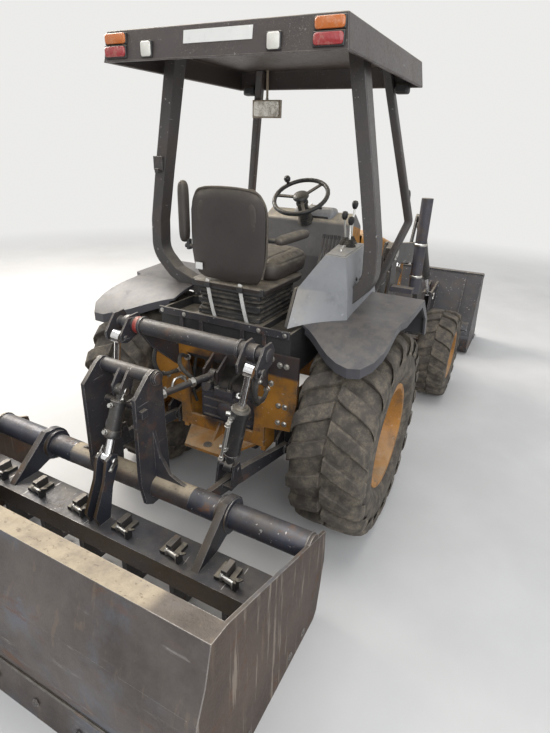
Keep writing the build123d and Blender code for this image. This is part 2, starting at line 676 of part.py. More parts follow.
pieces["link_mounts"] = link_mounts()
raised_foot = turned(hitch_foot, link_pin, -hitch_raise_deg)
hitch_draw_in = math.dist(hitch_foot, hitch_eye) - math.dist(raised_foot, hitch_eye)
for side, side_name in ((1, "left"), (-1, "right")):
    foot, eye, across = hitch_cylinder_line(side)
    barrel, stem = barrel_and_rod(foot, eye, hitch_barrel_radius, hitch_rod_radius, 0.63, hitch_neck,
                                  hitch_draw_in + 5, across)
    hole = rod(foot - across * 60, foot + across * 60, hitch_pin_radius + fit_gap)
    pieces["hitch_barrel_" + side_name] = barrel - hole
    pieces["hitch_rod_" + side_name] = stem

# Box scraper

box_low_y = sway - box_half
box_high_y = sway + box_half


def top_link():
    """Straight link from the rear frame to the mast, leaning with the box."""
    a = Vector(top_link_tractor[0], 0, top_link_tractor[1])
    b = Vector(top_link_mast[0], sway * 0.8, top_link_mast[1])
    bar = rod(a, b, 19)
    for at in (a, b):
        bar += rod(at - Vector(0, 20, 0), at + Vector(0, 20, 0), 30)
    return bar - pin_y(top_link_tractor, -60, 60, 12 + fit_gap)


def end_plate_outline():
    return [(-835, 532), (-821, 339), (-869, 37), (-905, 0), (-1840, 0), (-1852, 150), (-1868, 330), (-1866, 600),
            (-1820, 714), (-1785, 868), (-1690, 854)]


def box_shell():
    """End plates, curved rear plate with its top flange, cutting edges and the cross pipe."""
    shell = side_plate(end_plate_outline(), box_low_y, box_low_y + end_plate_thick)
    shell += side_plate(end_plate_outline(), box_high_y - end_plate_thick, box_high_y)
    t = 12.0
    outer = [(-1690, 854), (-1785, 868), (-1822, 714), (-1870, 600)]
    wall = ThreePointArc((-1870, 0, 600), (-1882, 0, 370), (-1852, 0, 150))
    top = Polyline([(x, 0, z) for x, z in outer])
    inner = ThreePointArc((-1852 + t, 0, 152), (-1882 + t, 0, 370), (-1870 + t, 0, 597))
    inner_top = Polyline([(-1870 + t, 0, 597), (-1822 + t, 0, 711), (-1776, 0, 855), (-1690, 0, 842)])
    foot = Line((-1852, 0, 150), (-1852 + t, 0, 152))
    lip = Line((-1690, 0, 842), (-1690, 0, 854))
    face = make_face(Curve() + [top, wall, foot, inner, inner_top, lip])
    shell += Pos(0, box_low_y + 1, 0) * extrude(face, amount=2 * box_half - 2, dir=(0, 1, 0))
    rear_edge = [(-1866, 165), (-1850, 165), (-1879, 0), (-1897, 0)]
    front_edge = [(-1850, 175), (-1830, 175), (-1748, 0), (-1768, 0)]
    shell += side_plate(rear_edge, box_low_y + 1, box_high_y - 1)
    shell += side_plate(front_edge, box_low_y + 1, box_high_y - 1)
    shell += pin_y(pipe_at, box_low_y + 1, box_high_y - 1, pipe_radius)
    for side in (1, -1):
        pin_at = side * link_y + sway
        half = link_thick / 2 + link_lean_gap
        x, z = box_pin
        ear = side_plate([(x + 34, z - 34), (x + 34, z + 26), (pipe_at[0] + 20, pipe_at[1] + 60), (pipe_at[0], pipe_at[1]),
                          (pipe_at[0] + 10, pipe_at[1] - 62), (x - 10, z - 44)], 0, 18)
        shell += Pos(0, pin_at + half, 0) * ear + Pos(0, pin_at - half - 18, 0) * ear
        shell += pin_y(box_pin, pin_at - half - 18, pin_at + half + 18, 20)
    return shell


def box_mast():
    """Two mast plates on the pipe, the tube across their tops, and lugs for the links."""
    outline = [(-905, 470), (-892, 620), (-905, 1130), (-922, 1200), (-960, 1215), (-1000, 1200), (-1100, 1110),
               (-1110, 640), (-1085, 500), (-1040, 470)]
    mast = side_plate(outline, sway - mast_half, sway - mast_half + mast_plate)
    mast += side_plate(outline, sway + mast_half - mast_plate, sway + mast_half)
    for side in (1, -1):
        root = sway + side * mast_half
        gusset = cross_plate([(root - side, 900), (root + side * 30, 760), (root + side * 90, 660),
                              (root + side * 240, 600), (root - side, 560)], -1000, -980)
        mast += gusset
    mast -= pin_y(pipe_at, box_low_y, box_high_y, pipe_radius)
    mast += pin_y(mast_tube_at, sway - mast_half - 14, sway + mast_half + 14, mast_tube_radius)
    half = ripper_barrel_radius * 0.5 + pin_gap
    x, z = ripper_top
    lug = side_plate([(x - 26, z - 26), (x + 24, z - 26), (mast_tube_at[0] + 10, mast_tube_at[1] - 20),
                      (mast_tube_at[0] - 30, mast_tube_at[1] + 20), (x - 30, z + 30)], 0, 12)
    mast += Pos(0, sway + half, 0) * lug + Pos(0, sway - half - 12, 0) * lug
    mast += pin_y(ripper_top, sway - half - 12, sway + half + 12, 13)
    x, z = top_link_mast
    link_at = sway * 0.8
    ear = side_plate([(x + 28, z - 24), (x + 28, z + 24), (x - 70, z + 22), (x - 70, z - 22)], 0, 12)
    mast += Pos(0, link_at + 32, 0) * ear + Pos(0, link_at - 44, 0) * ear
    mast += pin_y((x - 60, z), sway - mast_half + 1, sway + mast_half - 1, 18)
    for low in (32, -52):
        mast += pin_y(top_link_mast, link_at + low, link_at + low + 20, 13)
    return mast


def ripper_bar():
    """Beam on two hanger arms that turn on the pipe, with the curved levers for its cylinder."""
    beam = block(beam_x, (box_low_y + 40, box_high_y - 40), beam_z)
    shank_half = (16.0, 40.0)
    first = sway - shank_pitch * (shank_count - 1) / 2
    for i in range(shank_count):
        y = first + i * shank_pitch
        beam -= block((shank_x - shank_half[1], shank_x + shank_half[1]), (y - shank_half[0], y + shank_half[0]),
                      (beam_z[0] - 1, beam_z[1] + 1))
    x, z = pipe_at
    for side in (1, -1):
        y = sway + side * hanger_half
        arm = side_plate([(x + 40, z + 85), (x - 50, z + 100), (beam_x[0] + 30, beam_z[1] - 2), (beam_x[1] - 10, beam_z[1] - 2),
                          (x - 60, z - 80), (x + 50, z - 85), (x + 90, z)], y - 20, y + 20)
        arm += pin_y(pipe_at, y - 20, y + 20, 96)
        arm += pin_y(pipe_at, y - 45 * side, y - 20 * side, 84) if side > 0 else pin_y(pipe_at, y + 20, y + 45, 84)
        arm -= pin_y(pipe_at, y - 60, y + 60, pipe_radius + fit_gap)
        beam += arm
    half = ripper_barrel_radius * 0.5 + pin_gap
    ex, ez = ripper_eye
    outer = [(beam_x[0] + 40, beam_z[1] - 2), (beam_x[0] + 20, beam_z[1] + 60), (ex - 70, ez - 90), (ex - 40, ez + 20),
             (ex, ez + 36), (ex + 34, ez + 20), (ex + 30, ez - 40), (ex - 20, ez - 140), (beam_x[0] + 110, beam_z[1] - 2)]
    for low in (half, -half - 18):
        beam += side_plate(outer, sway + low, sway + low + 18)
    for low in (half, -half - 26):
        beam += pin_y(ripper_eye, sway + low, sway + low + 26, 14)
    return beam


def ripper_shanks():
    """Flat shanks through the beam, each with a forward-curved tooth."""
    outline = [(shank_x - 38, 510), (shank_x + 38, 510), (shank_x + 38, 170), (shank_x + 70, 80), (shank_x + 130, 40),
               (shank_x + 60, 45), (shank_x - 10, 90), (shank_x - 38, 160)]
    first = sway - shank_pitch * (shank_count - 1) / 2
    shanks = []
    for i in range(shank_count):
        y = first + i * shank_pitch
        shank = side_plate(outline, y - 15.5, y + 15.5)
        shanks.append(shank)
    return Compound(children=shanks)


pieces["top_link"] = top_link()
pieces["box_shell"] = box_shell()
pieces["box_mast"] = box_mast()
pieces["ripper_bar"] = ripper_bar()
pieces["ripper_shanks"] = ripper_shanks()
raised_eye = turned(ripper_eye, pipe_at, -ripper_up_deg)
ripper_draw_in = math.dist(ripper_top, ripper_eye) - math.dist(ripper_top, raised_eye)
barrel, stem = barrel_and_rod((ripper_top[0], sway, ripper_top[1]), (ripper_eye[0], sway, ripper_eye[1]),
                              ripper_barrel_radius, ripper_rod_radius, 0.68, 50.0, ripper_draw_in + 5)
pieces["ripper_barrel"] = barrel - pin_y(ripper_top, sway - 60, sway + 60, 13 + fit_gap)
pieces["ripper_rod"] = stem

# Operator station


def platform():
    """Floor between the fenders, raised deck below the seat, rear cross plate and the side steps."""
    floor = block((deck_rear_x, 950), (-430, 430), (floor_z - floor_thick, floor_z))
    floor += block((640, 950), (-500, 500), (floor_z - floor_thick, floor_z))
    deck = block((deck_rear_x, 220), (-420, 420), (floor_z - 1, seat_deck_z))
    deck += block((deck_rear_x, deck_rear_x + 16), (-436, 436), (floor_z, deck_z))
    side = block((deck_rear_x, 180), (422, 436), (floor_z - 1, deck_z))
    side += block((post_x - 75, post_x + 75), (360, 436), (floor_z - 1, deck_z))
    deck += both_sides(side)
    step = block((800, 945), (480, 800), (floor_z - 260, floor_z - 240))
    step += block((800, 945), (480, 494), (floor_z - 260, floor_z - 10))
    step += block((800, 945), (560, 800), (floor_z - 520, floor_z - 500))
    step += block((865, 875), (560, 800), (floor_z - 520, floor_z - 240))
    posts = block((420, 500), (rail_half - 28, rail_half - 2), (rail_high + fit_gap, floor_z - floor_thick + 1))
    posts += block((850, 930), (rail_half - 28, rail_half - 2), (rail_high + fit_gap, floor_z - floor_thick + 1))
    return floor + deck + both_sides(step) + both_sides(posts)


def fender_section(depth):
    """Face in the X-Z plane: rear arc, level top and sloped front, as deep as given."""
    z = rear_tyre_radius
    top_z = z + math.sqrt(fender_radius ** 2 - fender_top_x ** 2)
    inner = fender_radius - depth
    inner_z = top_z - depth

    def on_arc(radius, degrees):
        return radius * math.cos(math.radians(degrees)), 0, z + radius * math.sin(math.radians(degrees))

    outer_front = [(fender_top_x, 0, top_z), (380, 0, top_z + 25), (560, 0, top_z - 140), (600, 0, top_z - 260)]
    inner_front = [(600 - depth, 0, top_z - 260), (560 - depth, 0, top_z - 140), (380 - depth / 2, 0, inner_z + 25),
                   (fender_top_x, 0, inner_z)]
    edges = [ThreePointArc(on_arc(fender_radius, 132), on_arc(fender_radius, 112), (fender_top_x, 0, top_z)),
             Polyline(*outer_front), Line(outer_front[-1], inner_front[0]), Polyline(*inner_front),
             ThreePointArc((fender_top_x, 0, inner_z), on_arc(inner, 112), on_arc(inner, 132)),
             Line(on_arc(inner, 132), on_arc(fender_radius, 132))]
    return make_face(Curve() + edges)


def drawn_in(points, distance):
    """A closed outline drawn in by a distance: each side moves in and meets its neighbours again."""
    sides = list(zip(points, points[1:] + points[:1]))
    turn = 1 if sum(a[0] * b[1] - b[0] * a[1] for a, b in sides) > 0 else -1
    lines = []
    for a, b in sides:
        along = Vector(b[0] - a[0], b[1] - a[1], 0).normalized()
        normal = Vector(-along.Y, along.X, 0) * turn
        lines.append((Vector(a[0], a[1], 0) + normal * distance, along))
    corners = []
    for k, (start, along) in enumerate(lines):
        before, along_before = lines[k - 1]
        gap = start - before
        cross = along_before.X * along.Y - along_before.Y * along.X
        reach = (gap.X * along.Y - gap.Y * along.X) / cross
        meet = before + along_before * reach
        corners.append((meet.X, meet.Y))
    return corners


def fender(rear_edge):
    """Left moulded fender: its rear corner is rounded in plan and a lip follows its outer edge."""
    width = fender_outer_y - fender_inner_y
    place = Pos(0, fender_inner_y, 0)
    skin = place * extrude(fender_section(fender_thick), amount=width, dir=(0, 1, 0))
    band = place * extrude(fender_section(fender_lip), amount=width, dir=(0, 1, 0))
    curve = Spline([(x, y, 0) for x, y in rear_edge])
    outline = [((curve @ (k / plan_steps)).X, (curve @ (k / plan_steps)).Y) for k in range(plan_steps + 1)]
    outline += [(700, fender_outer_y), (700, fender_inner_y), (rear_edge[0][0], fender_inner_y)]
    plan = make_face(Polyline(outline, close=True))
    inside = make_face(Polyline(drawn_in(outline, fender_thick), close=True))
    tall = 2 * rear_tyre_radius + fender_radius
    column = extrude(plan, amount=tall, dir=(0, 0, 1))
    core = extrude(inside, amount=tall, dir=(0, 0, 1))
    lip = (band & column) - core
    lip &= block((-600, 700), (fender_inner_y + 30, fender_outer_y), (0, tall))
    shell = (skin & column) + lip
    return shell - rear_post(fit_gap)


def under_fender():
    """The space below the left fender's outer surface."""
    z = rear_tyre_radius
    top_z = z + math.sqrt(fender_radius ** 2 - fender_top_x ** 2)
    drum = pin_y((0, z), 0, 2 * fender_outer_y, fender_radius) & block((-fender_radius, fender_top_x), (0, 2000), (0, 2000))
    ahead = side_plate([(fender_top_x - 1, 700), (fender_top_x - 1, top_z), (380, top_z + 25), (560, top_z - 140),
                        (600, top_z - 260), (600, 700)], 0, 2 * fender_outer_y)
    return drum + ahead


def side_console():
    """Tapered console between the seat and the right fender."""
    outlines = {deck_z + fit_gap: [(-310, -378), (480, -440), (480, -640), (-140, -660)],
                1500: [(-189, -373), (380, -425), (400, -620), (-150, -650)],
                1690: [(-130, -500), (300, -430), (320, -580), (-150, -620)]}
    sections = [Plane.XY.offset(z) * make_face(Polyline(outline, close=True)) for z, outline in outlines.items()]
    cuts = rear_post(fit_gap) + Pos(0, 0, fit_gap) * under_fender()
    return loft(sections, ruled=True) - mirror(cuts, about=Plane.XZ)


def seat_base():
    """Sprung seat base: lower tray, folded bellows and the pan on top."""
    z = seat_deck_z
    base = block((-330, 130), (-230, 230), (z, z + 40))
    for i in range(5):
        inset = 26 if i % 2 else 8
        base += block((-320 + inset, 120 - inset), (-215 + inset, 215 - inset), (z + 39 + i * 34, z + 74 + i * 34))
    base += block((-330, 130), (-235, 235), (z + 208, z + 250))
    return base


def soft_block(x, y, z, radius):
    solid = block(x, y, z)
    return fillet(solid.edges(), radius)


seat_low_z = seat_deck_z + 250
pieces["platform"] = platform()
pieces["seat_base"] = seat_base()
pieces["seat_cushion"] = soft_block((-190, 290), (-245, 245), (seat_low_z + fit_gap, seat_low_z + 130), 40)
pieces["seat_back"] = soft_block((-345, -215), (-235, 235), (seat_low_z + fit_gap, 2010), 50)
pieces["armrests"] = (soft_block((-340, -270), (262, 322), (1690, 2030), 24)
                      + soft_block((-300, 60), (-330, -262), (1730, 1785), 24)
                      + pin_y((-300, 1675), 235 + fit_gap, 292, 12) + pin_y((-280, 1757), -290, -235 - fit_gap, 12)
                      + block((-312, -288), (262, 276), (1662, 1710)))


def cowl():
    """Dash housing with its sloped top and the steering column."""
    front = hood_rear_x - fit_gap
    outline = [(700, floor_z), (660, 1500), (700, 1740), (820, 1800), (front, 1700), (front, floor_z)]
    body = side_plate(outline, -330, 330)
    body = fillet(body.edges().filter_by(Axis.Y).filter_by(lambda e: e.center().Z > 1400), 30)
    x, z = steer_wheel_at
    lean = math.radians(steer_wheel_tilt)
    top = (x + math.sin(lean) * 34.5, 0, z - math.cos(lean) * 34.5)
    bottom = (x + math.sin(lean) * 360, 0, z - math.cos(lean) * 360)
    return body + rod(bottom, top, 34)


def steering_wheel():
    """Wheel rim with three spokes and a hub on the column's end."""
    ring = Torus(185, 14)
    for i in range(3):
        ring += Rot(0, 0, 90 + i * 120) * (Pos(92, 0, -6) * Box(180, 22, 10))
    ring += Pos(0, 0, -14) * Cylinder(38, 40)
    return Pos(steer_wheel_at[0], 0, steer_wheel_at[1]) * Rot(0, -steer_wheel_tilt, 0) * ring


pieces["cowl"] = cowl()
pieces["steering_wheel"] = steering_wheel()
pieces["fender_left"] = fender(fender_left_edge)
pieces["fender_right"] = mirror(fender(fender_right_edge), about=Plane.XZ)
pieces["side_console"] = side_console()


def front_posts():
    """Slender front posts that lean forward to a kink and back to the platform."""
    points = [(895, 458.3, floor_z - 25), (930, 470, 1200), (1040, 650, 1750), (795, 436, canopy_inside + 20)]
    bar = bent_bar(points, Rectangle(front_post_size, front_post_size), 60)
    return both_sides(bar & block((0, 2000), (0, 2000), (floor_z + fit_gap, canopy_inside - fit_gap)))


def canopy_roof():
    """Roof pan, open below, with sloped sides."""
    low = Plane.XY.offset(canopy_low) * Pos((canopy_rear_x + canopy_front_x) / 2, 0) * Rectangle(
        canopy_front_x - canopy_rear_x, canopy_half * 2)
    high = Plane.XY.offset(canopy_high) * Pos((canopy_rear_x + canopy_front_x) / 2, 0) * Rectangle(
        canopy_front_x - canopy_rear_x - 40, canopy_half * 2 - 40)
    roof = loft([low, high])
    roof -= block((canopy_rear_x + canopy_wall, canopy_front_x - canopy_wall),
                  (-canopy_half + canopy_wall, canopy_half - canopy_wall), (canopy_low - 1, canopy_inside))
    return roof


pieces["rear_posts"] = both_sides(rear_post())
pieces["front_posts"] = front_posts()
pieces["canopy_roof"] = canopy_roof()
lamps = both_sides(block((canopy_rear_x, canopy_rear_x + 24), (497, 635), (2637, 2687))
                   + block((canopy_rear_x - 8, canopy_rear_x + 24), (497, 635), (2578, 2634)))
for middle in work_lamp_y:
    lamps += block((canopy_rear_x - 8, canopy_rear_x + 24), (middle - 35, middle + 35), (2576, 2646))
pieces["roof_lamps"] = lamps - pieces["canopy_roof"]
mirror_x = canopy_front_x - 78
mirror_arm = rod((mirror_x, mirror_y, canopy_inside - fit_gap), (mirror_x, mirror_y, 2490), 8)
mirror_face = block((mirror_x - 13, mirror_x + 13), (mirror_y - 110, mirror_y + 110), (2386, 2498))
pieces["mirrors"] = mirror_arm + mirror_face
stack = Pos(1230, stack_y, 1200) * Cylinder(42, 700, align=(Align.CENTER, Align.CENTER, Align.MIN))
stack += block((1120, 1200), (stack_y - 10, -arm_y - arm_thick / 2 - pin_gap - 16 - fit_gap), (1210, 1250))
pieces["exhaust_stack"] = stack
handle = bent_bar([(1017.4, -605, 1950), (1130, -605, 1950), (1130, -614, 1640), (1046.2, -614, 1640)], Circle(11), 40)
pieces["grab_handle"] = handle
levers = []
for i in range(5):
    y = -260 - i * 26
    levers.append(bent_bar([(330, y, 1340), (330, y, 1450), (390, y, 1560), (430, y, 1700)], Circle(6), 30))
pieces["control_levers"] = Compound(children=levers) + block((290, 370), (-380, -240), (floor_z, 1345))

# Origin at the middle of the base, then one file for each piece
boxes = [piece.bounding_box() for piece in pieces.values()]
low = [min(getattr(b.min, axis) for b in boxes) for axis in "XYZ"]
high = [max(getattr(b.max, axis) for b in boxes) for axis in "XYZ"]
shift = (-(low[0] + high[0]) / 2, -(low[1] + high[1]) / 2, -low[2])
os.makedirs("parts", exist_ok=True)
for name, piece in pieces.items():
    solids = [Pos(*shift) * solid for solid in piece.solids()]
    export_step(solids[0] if len(solids) == 1 else Compound(solids), "parts/" + name + ".step")
print("origin moved by", [round(v, 3) for v in shift])
print("size", [round(b - a, 1) for a, b in zip(low, high)])
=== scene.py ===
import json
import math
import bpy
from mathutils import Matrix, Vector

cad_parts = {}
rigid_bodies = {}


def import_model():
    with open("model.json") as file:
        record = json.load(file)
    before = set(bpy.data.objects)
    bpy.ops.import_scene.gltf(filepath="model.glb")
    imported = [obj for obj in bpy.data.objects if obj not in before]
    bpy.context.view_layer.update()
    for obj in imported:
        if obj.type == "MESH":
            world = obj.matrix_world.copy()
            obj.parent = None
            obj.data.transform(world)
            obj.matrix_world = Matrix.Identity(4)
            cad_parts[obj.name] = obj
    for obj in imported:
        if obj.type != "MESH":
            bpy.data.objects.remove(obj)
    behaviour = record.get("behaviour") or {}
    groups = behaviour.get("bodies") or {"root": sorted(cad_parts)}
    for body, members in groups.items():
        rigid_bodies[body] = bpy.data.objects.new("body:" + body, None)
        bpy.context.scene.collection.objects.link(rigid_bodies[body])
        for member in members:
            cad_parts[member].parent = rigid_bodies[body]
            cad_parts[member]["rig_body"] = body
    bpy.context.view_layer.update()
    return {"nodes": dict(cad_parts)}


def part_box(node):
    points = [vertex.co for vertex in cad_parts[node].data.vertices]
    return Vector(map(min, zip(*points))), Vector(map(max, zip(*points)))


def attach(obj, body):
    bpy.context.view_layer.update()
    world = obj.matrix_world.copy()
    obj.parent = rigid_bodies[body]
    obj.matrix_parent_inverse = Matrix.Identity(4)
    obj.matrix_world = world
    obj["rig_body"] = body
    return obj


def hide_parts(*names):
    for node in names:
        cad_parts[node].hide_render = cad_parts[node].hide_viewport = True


bl_info = {
    "name": "Tractor loader with box scraper",
    "version": (1, 0, 0),
    "blender": (4, 5, 0),
    "location": "3D View > Sidebar > Tractor",
    "description": "Dresses the packed tractor loader with shapes, finishes, light and a camera",
    "category": "Object",
}

import bmesh
import bpy
from bpy.props import FloatProperty, FloatVectorProperty, IntProperty, PointerProperty
from mathutils import Matrix, Vector

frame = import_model()

REAR_LOW, REAR_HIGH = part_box("tyre_rear_left")
RIGHT_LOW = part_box("tyre_rear_right")[0]
AXLE = Vector(((REAR_LOW.x + REAR_HIGH.x) / 2, (RIGHT_LOW.y + REAR_HIGH.y) / 2, 0))

# Measures of the frame's own nodes that the pieces here are set against, in millimetres from the rear axle.
BOX_MIDDLE = 180
BOX_PIPE = (-990, 560)
RIPPER_TOP = (-1010, 180, 1085)
RIPPER_EYE = (-1150, 180, 760)
SHANK_COUNT = 6
SHANK_PITCH = 305
HITCH_TUBE = (-690, 1300)
HITCH_RAM_LENGTH = 615
LINK_SWAY = -180 / 580
REAR_PLATE_X = -400.3
BOOM_PIN_Y = 570
STACK = (1230, -720)
WHEEL_CENTRE = Vector((602, 0, 1902))
WHEEL_TILT = math.radians(32)
SEAT_DECK_Z = 1250
LAMP_SLOPE = 0.148


def at(x, y, z):
    """A point given in millimetres from the rear axle's middle on the ground."""
    return Vector((x / 1000, y / 1000, z / 1000)) + AXLE


def new_node(tree, kind, settings=None, inputs=None):
    """A node of any type: settings come first, then numbers or links for its sockets."""
    node = tree.nodes.new(kind)
    for key, value in (settings or {}).items():
        setattr(node, key, value)
    for key, value in (inputs or {}).items():
        if isinstance(value, bpy.types.NodeSocket):
            tree.links.new(value, node.inputs[key])
        else:
            node.inputs[key].default_value = value
    return node


class Value:
    """A shader socket that Python's operators can be used on."""

    def __init__(self, tree, socket):
        self.tree = tree
        self.socket = socket

    def maths(self, operation, first, second=None, clamp=False):
        inputs = {place: bare(value) for place, value in enumerate((first, second)) if value is not None}
        node = new_node(self.tree, "ShaderNodeMath", {"operation": operation, "use_clamp": clamp}, inputs)
        return Value(self.tree, node.outputs[0])

    def __add__(self, other):
        return self.maths("ADD", self, other)

    def __radd__(self, other):
        return self.maths("ADD", other, self)

    def __sub__(self, other):
        return self.maths("SUBTRACT", self, other)

    def __rsub__(self, other):
        return self.maths("SUBTRACT", other, self)

    def __mul__(self, other):
        return self.maths("MULTIPLY", self, other)

    def __rmul__(self, other):
        return self.maths("MULTIPLY", other, self)

    def most(self, other):
        return self.maths("MAXIMUM", self, other)

    def size(self):
        return self.maths("ABSOLUTE", self)

    def clamped(self):
        return self.maths("ADD", self, 0.0, clamp=True)

    def between(self, low, high):
        """0 below low, 1 above high, smooth in between; low may be the larger."""
        node = new_node(self.tree, "ShaderNodeMapRange", {"interpolation_type": "SMOOTHSTEP"},
                        {"From Min": low, "From Max": high, "Value": self.socket})
        return Value(self.tree, node.outputs["Result"])


def bare(value):
    """The socket of a Value, or a plain number or colour as it is."""
    return value.socket if isinstance(value, Value) else value


class Finish:
    """A material under construction."""

    def __init__(self, name):
        self.material = bpy.data.materials.new(name)
        self.material.use_nodes = True
        self.tree = self.material.node_tree
        self.tree.nodes.clear()
        self.shader = self.tree.nodes.new("ShaderNodeBsdfPrincipled")
        self.output = self.tree.nodes.new("ShaderNodeOutputMaterial")
        self.tree.links.new(self.shader.outputs[0], self.output.inputs[0])
        self.place = self.node("ShaderNodeTexCoord", out="Object")

    def node(self, kind, settings=None, inputs=None, out=0):
        """A node of any type in this finish, with one of its outputs to go on with."""
        inputs = {key: bare(value) for key, value in (inputs or {}).items()}
        return Value(self.tree, new_node(self.tree, kind, settings, inputs).outputs[out])

    def stretched(self, scale, turn=(0, 0, 0)):
        """Object coordinates turned and then scaled for each axis."""
        return self.node("ShaderNodeMapping", inputs={"Vector": self.place, "Scale": scale, "Rotation": turn})

    def noise(self, scale, detail=4.0, rough=0.55, stretch=(1, 1, 1), turn=(0, 0, 0), distort=0.0):
        where = self.stretched(stretch, turn)
        return self.node("ShaderNodeTexNoise", inputs={
            "Vector": where, "Scale": scale, "Detail": detail, "Roughness": rough, "Distortion": distort})

    def cells(self, scale):
        where = self.stretched((1, 1, 1))
        return self.node("ShaderNodeTexVoronoi", inputs={"Vector": where, "Scale": scale}, out="Distance")

    def axis(self, letter):
        return self.node("ShaderNodeSeparateXYZ", inputs={0: self.place}, out=letter)

    def facing(self, letter):
        """How far the piece's own surface faces along an axis, from -1 to 1."""
        normal = self.node("ShaderNodeTexCoord", out="Normal")
        return self.node("ShaderNodeSeparateXYZ", inputs={0: normal}, out=letter)

    def edges(self, radius):
        """1 along sharp edges, 0 on flats."""
        soft = self.node("ShaderNodeBevel", {"samples": 4}, {"Radius": radius}, "Normal")
        plain = self.node("ShaderNodeNewGeometry", out="Normal")
        dot = self.node("ShaderNodeVectorMath", {"operation": "DOT_PRODUCT"}, {0: soft, 1: plain}, "Value")
        return (1 - dot).between(0.02, 0.2)

    def mix(self, low, high, factor):
        """Colours mixed by a factor."""
        low, high = (colour if isinstance(colour, Value) else (*colour[:3], 1) for colour in (low, high))
        return self.node("ShaderNodeMix", {"data_type": "RGBA"}, {0: factor, 6: low, 7: high}, 2)

    def done(self, colour, rough=0.5, metal=0.0, height=None, depth=0.001, **fixed):
        """Connects the finish: colour, roughness and metal may vary; what is in fixed is one number."""
        sockets = self.shader.inputs
        for key, value in (("Base Color", colour), ("Roughness", rough), ("Metallic", metal)):
            if isinstance(value, Value):
                self.tree.links.new(value.socket, sockets[key])
            elif key == "Base Color":
                sockets[key].default_value = (*value[:3], 1)
            else:
                sockets[key].default_value = value
        if height is not None:
            bump = self.node("ShaderNodeBump", inputs={"Height": height, "Distance": depth, "Strength": 1.0},
                             out="Normal")
            self.tree.links.new(bump.socket, sockets["Normal"])
        for key, value in fixed.items():
            sockets[key.replace("_", " ")].default_value = value
        return self.material


class Shape:
    """A mesh in the making, from simple solids given in millimetres from the rear axle."""

    def __init__(self, origin=AXLE):
        self.bm = bmesh.new()
        self.origin = origin

    def add(self, points, faces):
        corners = [self.bm.verts.new(Vector(point) / 1000 + self.origin) for point in points]
        for face in faces:
            self.bm.faces.new([corners[k] for k in face])
        return self

    def rings(self, rings, closed=False):
        """A skin through rings of points that all have the same count."""
        count = len(rings[0])
        points = [point for ring in rings for point in ring]
        faces = []
        last = len(rings) if closed else len(rings) - 1
        for i in range(last):
            j = (i + 1) % len(rings)
            for k in range(count):
                m = (k + 1) % count
                faces.append((i * count + k, i * count + m, j * count + m, j * count + k))
        if not closed:
            faces.append(tuple(reversed(range(count))))
            faces.append(tuple(range((len(rings) - 1) * count, len(rings) * count)))
        return self.add(points, faces)

    def block(self, x, y, z):
        """An upright box between two numbers on each axis."""
        low = [(x[0], y[0], z[0]), (x[1], y[0], z[0]), (x[1], y[1], z[0]), (x[0], y[1], z[0])]
        return self.rings([low, [(px, py, z[1]) for px, py, _ in low]])

    def plate(self, outline, y):
        """An outline of X and Z points given a thickness along Y."""
        return self.rings([[(px, side, pz) for px, pz in outline] for side in y])

    def bar(self, start, end, radius, sides=16):
        """A round bar between two points."""
        return self.tube([start, end], radius, sides)

    def tube(self, points, radius, sides=10):
        """A round tube through points."""
        path = [Vector(point) for point in points]
        rings = []
        side = None
        for k, here in enumerate(path):
            ahead = path[min(k + 1, len(path) - 1)] - path[max(k - 1, 0)]
            ahead.normalize()
            if side is None:
                side = ahead.orthogonal().normalized()
            side = (side - ahead * side.dot(ahead)).normalized()
            other = ahead.cross(side)
            ring = []
            for n in range(sides):
                turn = 2 * math.pi * n / sides
                ring.append(here + (side * math.cos(turn) + other * math.sin(turn)) * radius)
            rings.append(ring)
        return self.rings(rings)

    def strip(self, points, across, width, thick):
        """A flat bar through points, wide along one direction."""
        path = [Vector(point) for point in points]
        across = Vector(across).normalized()
        rings = []
        for k, here in enumerate(path):
            ahead = (path[min(k + 1, len(path) - 1)] - path[max(k - 1, 0)]).normalized()
            up = ahead.cross(across).normalized()
            corners = ((1, 1), (-1, 1), (-1, -1), (1, -1))
            rings.append([here + across * (a * width / 2) + up * (b * thick / 2) for a, b in corners])
        return self.rings(rings)

    def lathe(self, profile, centre, along=(0, 0, 1), steps=32):
        """A profile of radius and height pairs turned round an axis: a closed ring, or one that begins and
        ends on the axis."""
        along = Vector(along).normalized()
        side = along.orthogonal().normalized()
        other = along.cross(side)
        rings = []
        for n in range(steps):
            turn = 2 * math.pi * n / steps
            out = side * math.cos(turn) + other * math.sin(turn)
            rings.append([Vector(centre) + out * radius + along * height for radius, height in profile])
        if profile[0][0] or profile[-1][0]:
            return self.rings(rings, closed=True)
        count = len(profile)
        points = [point for ring in rings for point in ring]
        faces = []
        for i in range(steps):
            j = (i + 1) % steps
            for k in range(count - 1):
                faces.append((i * count + k, i * count + k + 1, j * count + k + 1, j * count + k))
        return self.add(points, faces)

    def hexagon(self, centre, along, radius, height, washer=1.35):
        """One bolt head on its washer, standing on a surface."""
        along = Vector(along).normalized()
        start = Vector(centre)
        self.bar(start, start + along * (height * 0.25), radius * washer, 14)
        return self.bar(start + along * (height * 0.2), start + along * height, radius, 6)

    def mesh(self, name):
        """The plain mesh, with its faces outwards."""
        bmesh.ops.remove_doubles(self.bm, verts=self.bm.verts, dist=0.00002)
        bmesh.ops.recalc_face_normals(self.bm, faces=self.bm.faces)
        data = bpy.data.meshes.new(name)
        self.bm.to_mesh(data)
        self.bm.free()
        return data

    def piece(self, name, finish, body, bevel=0.0, slot=None, angle=35):
        """The finished piece, riding on its body; the finish is given by its short name."""
        return finished(name, self.mesh(name), finish, body, bevel, angle)


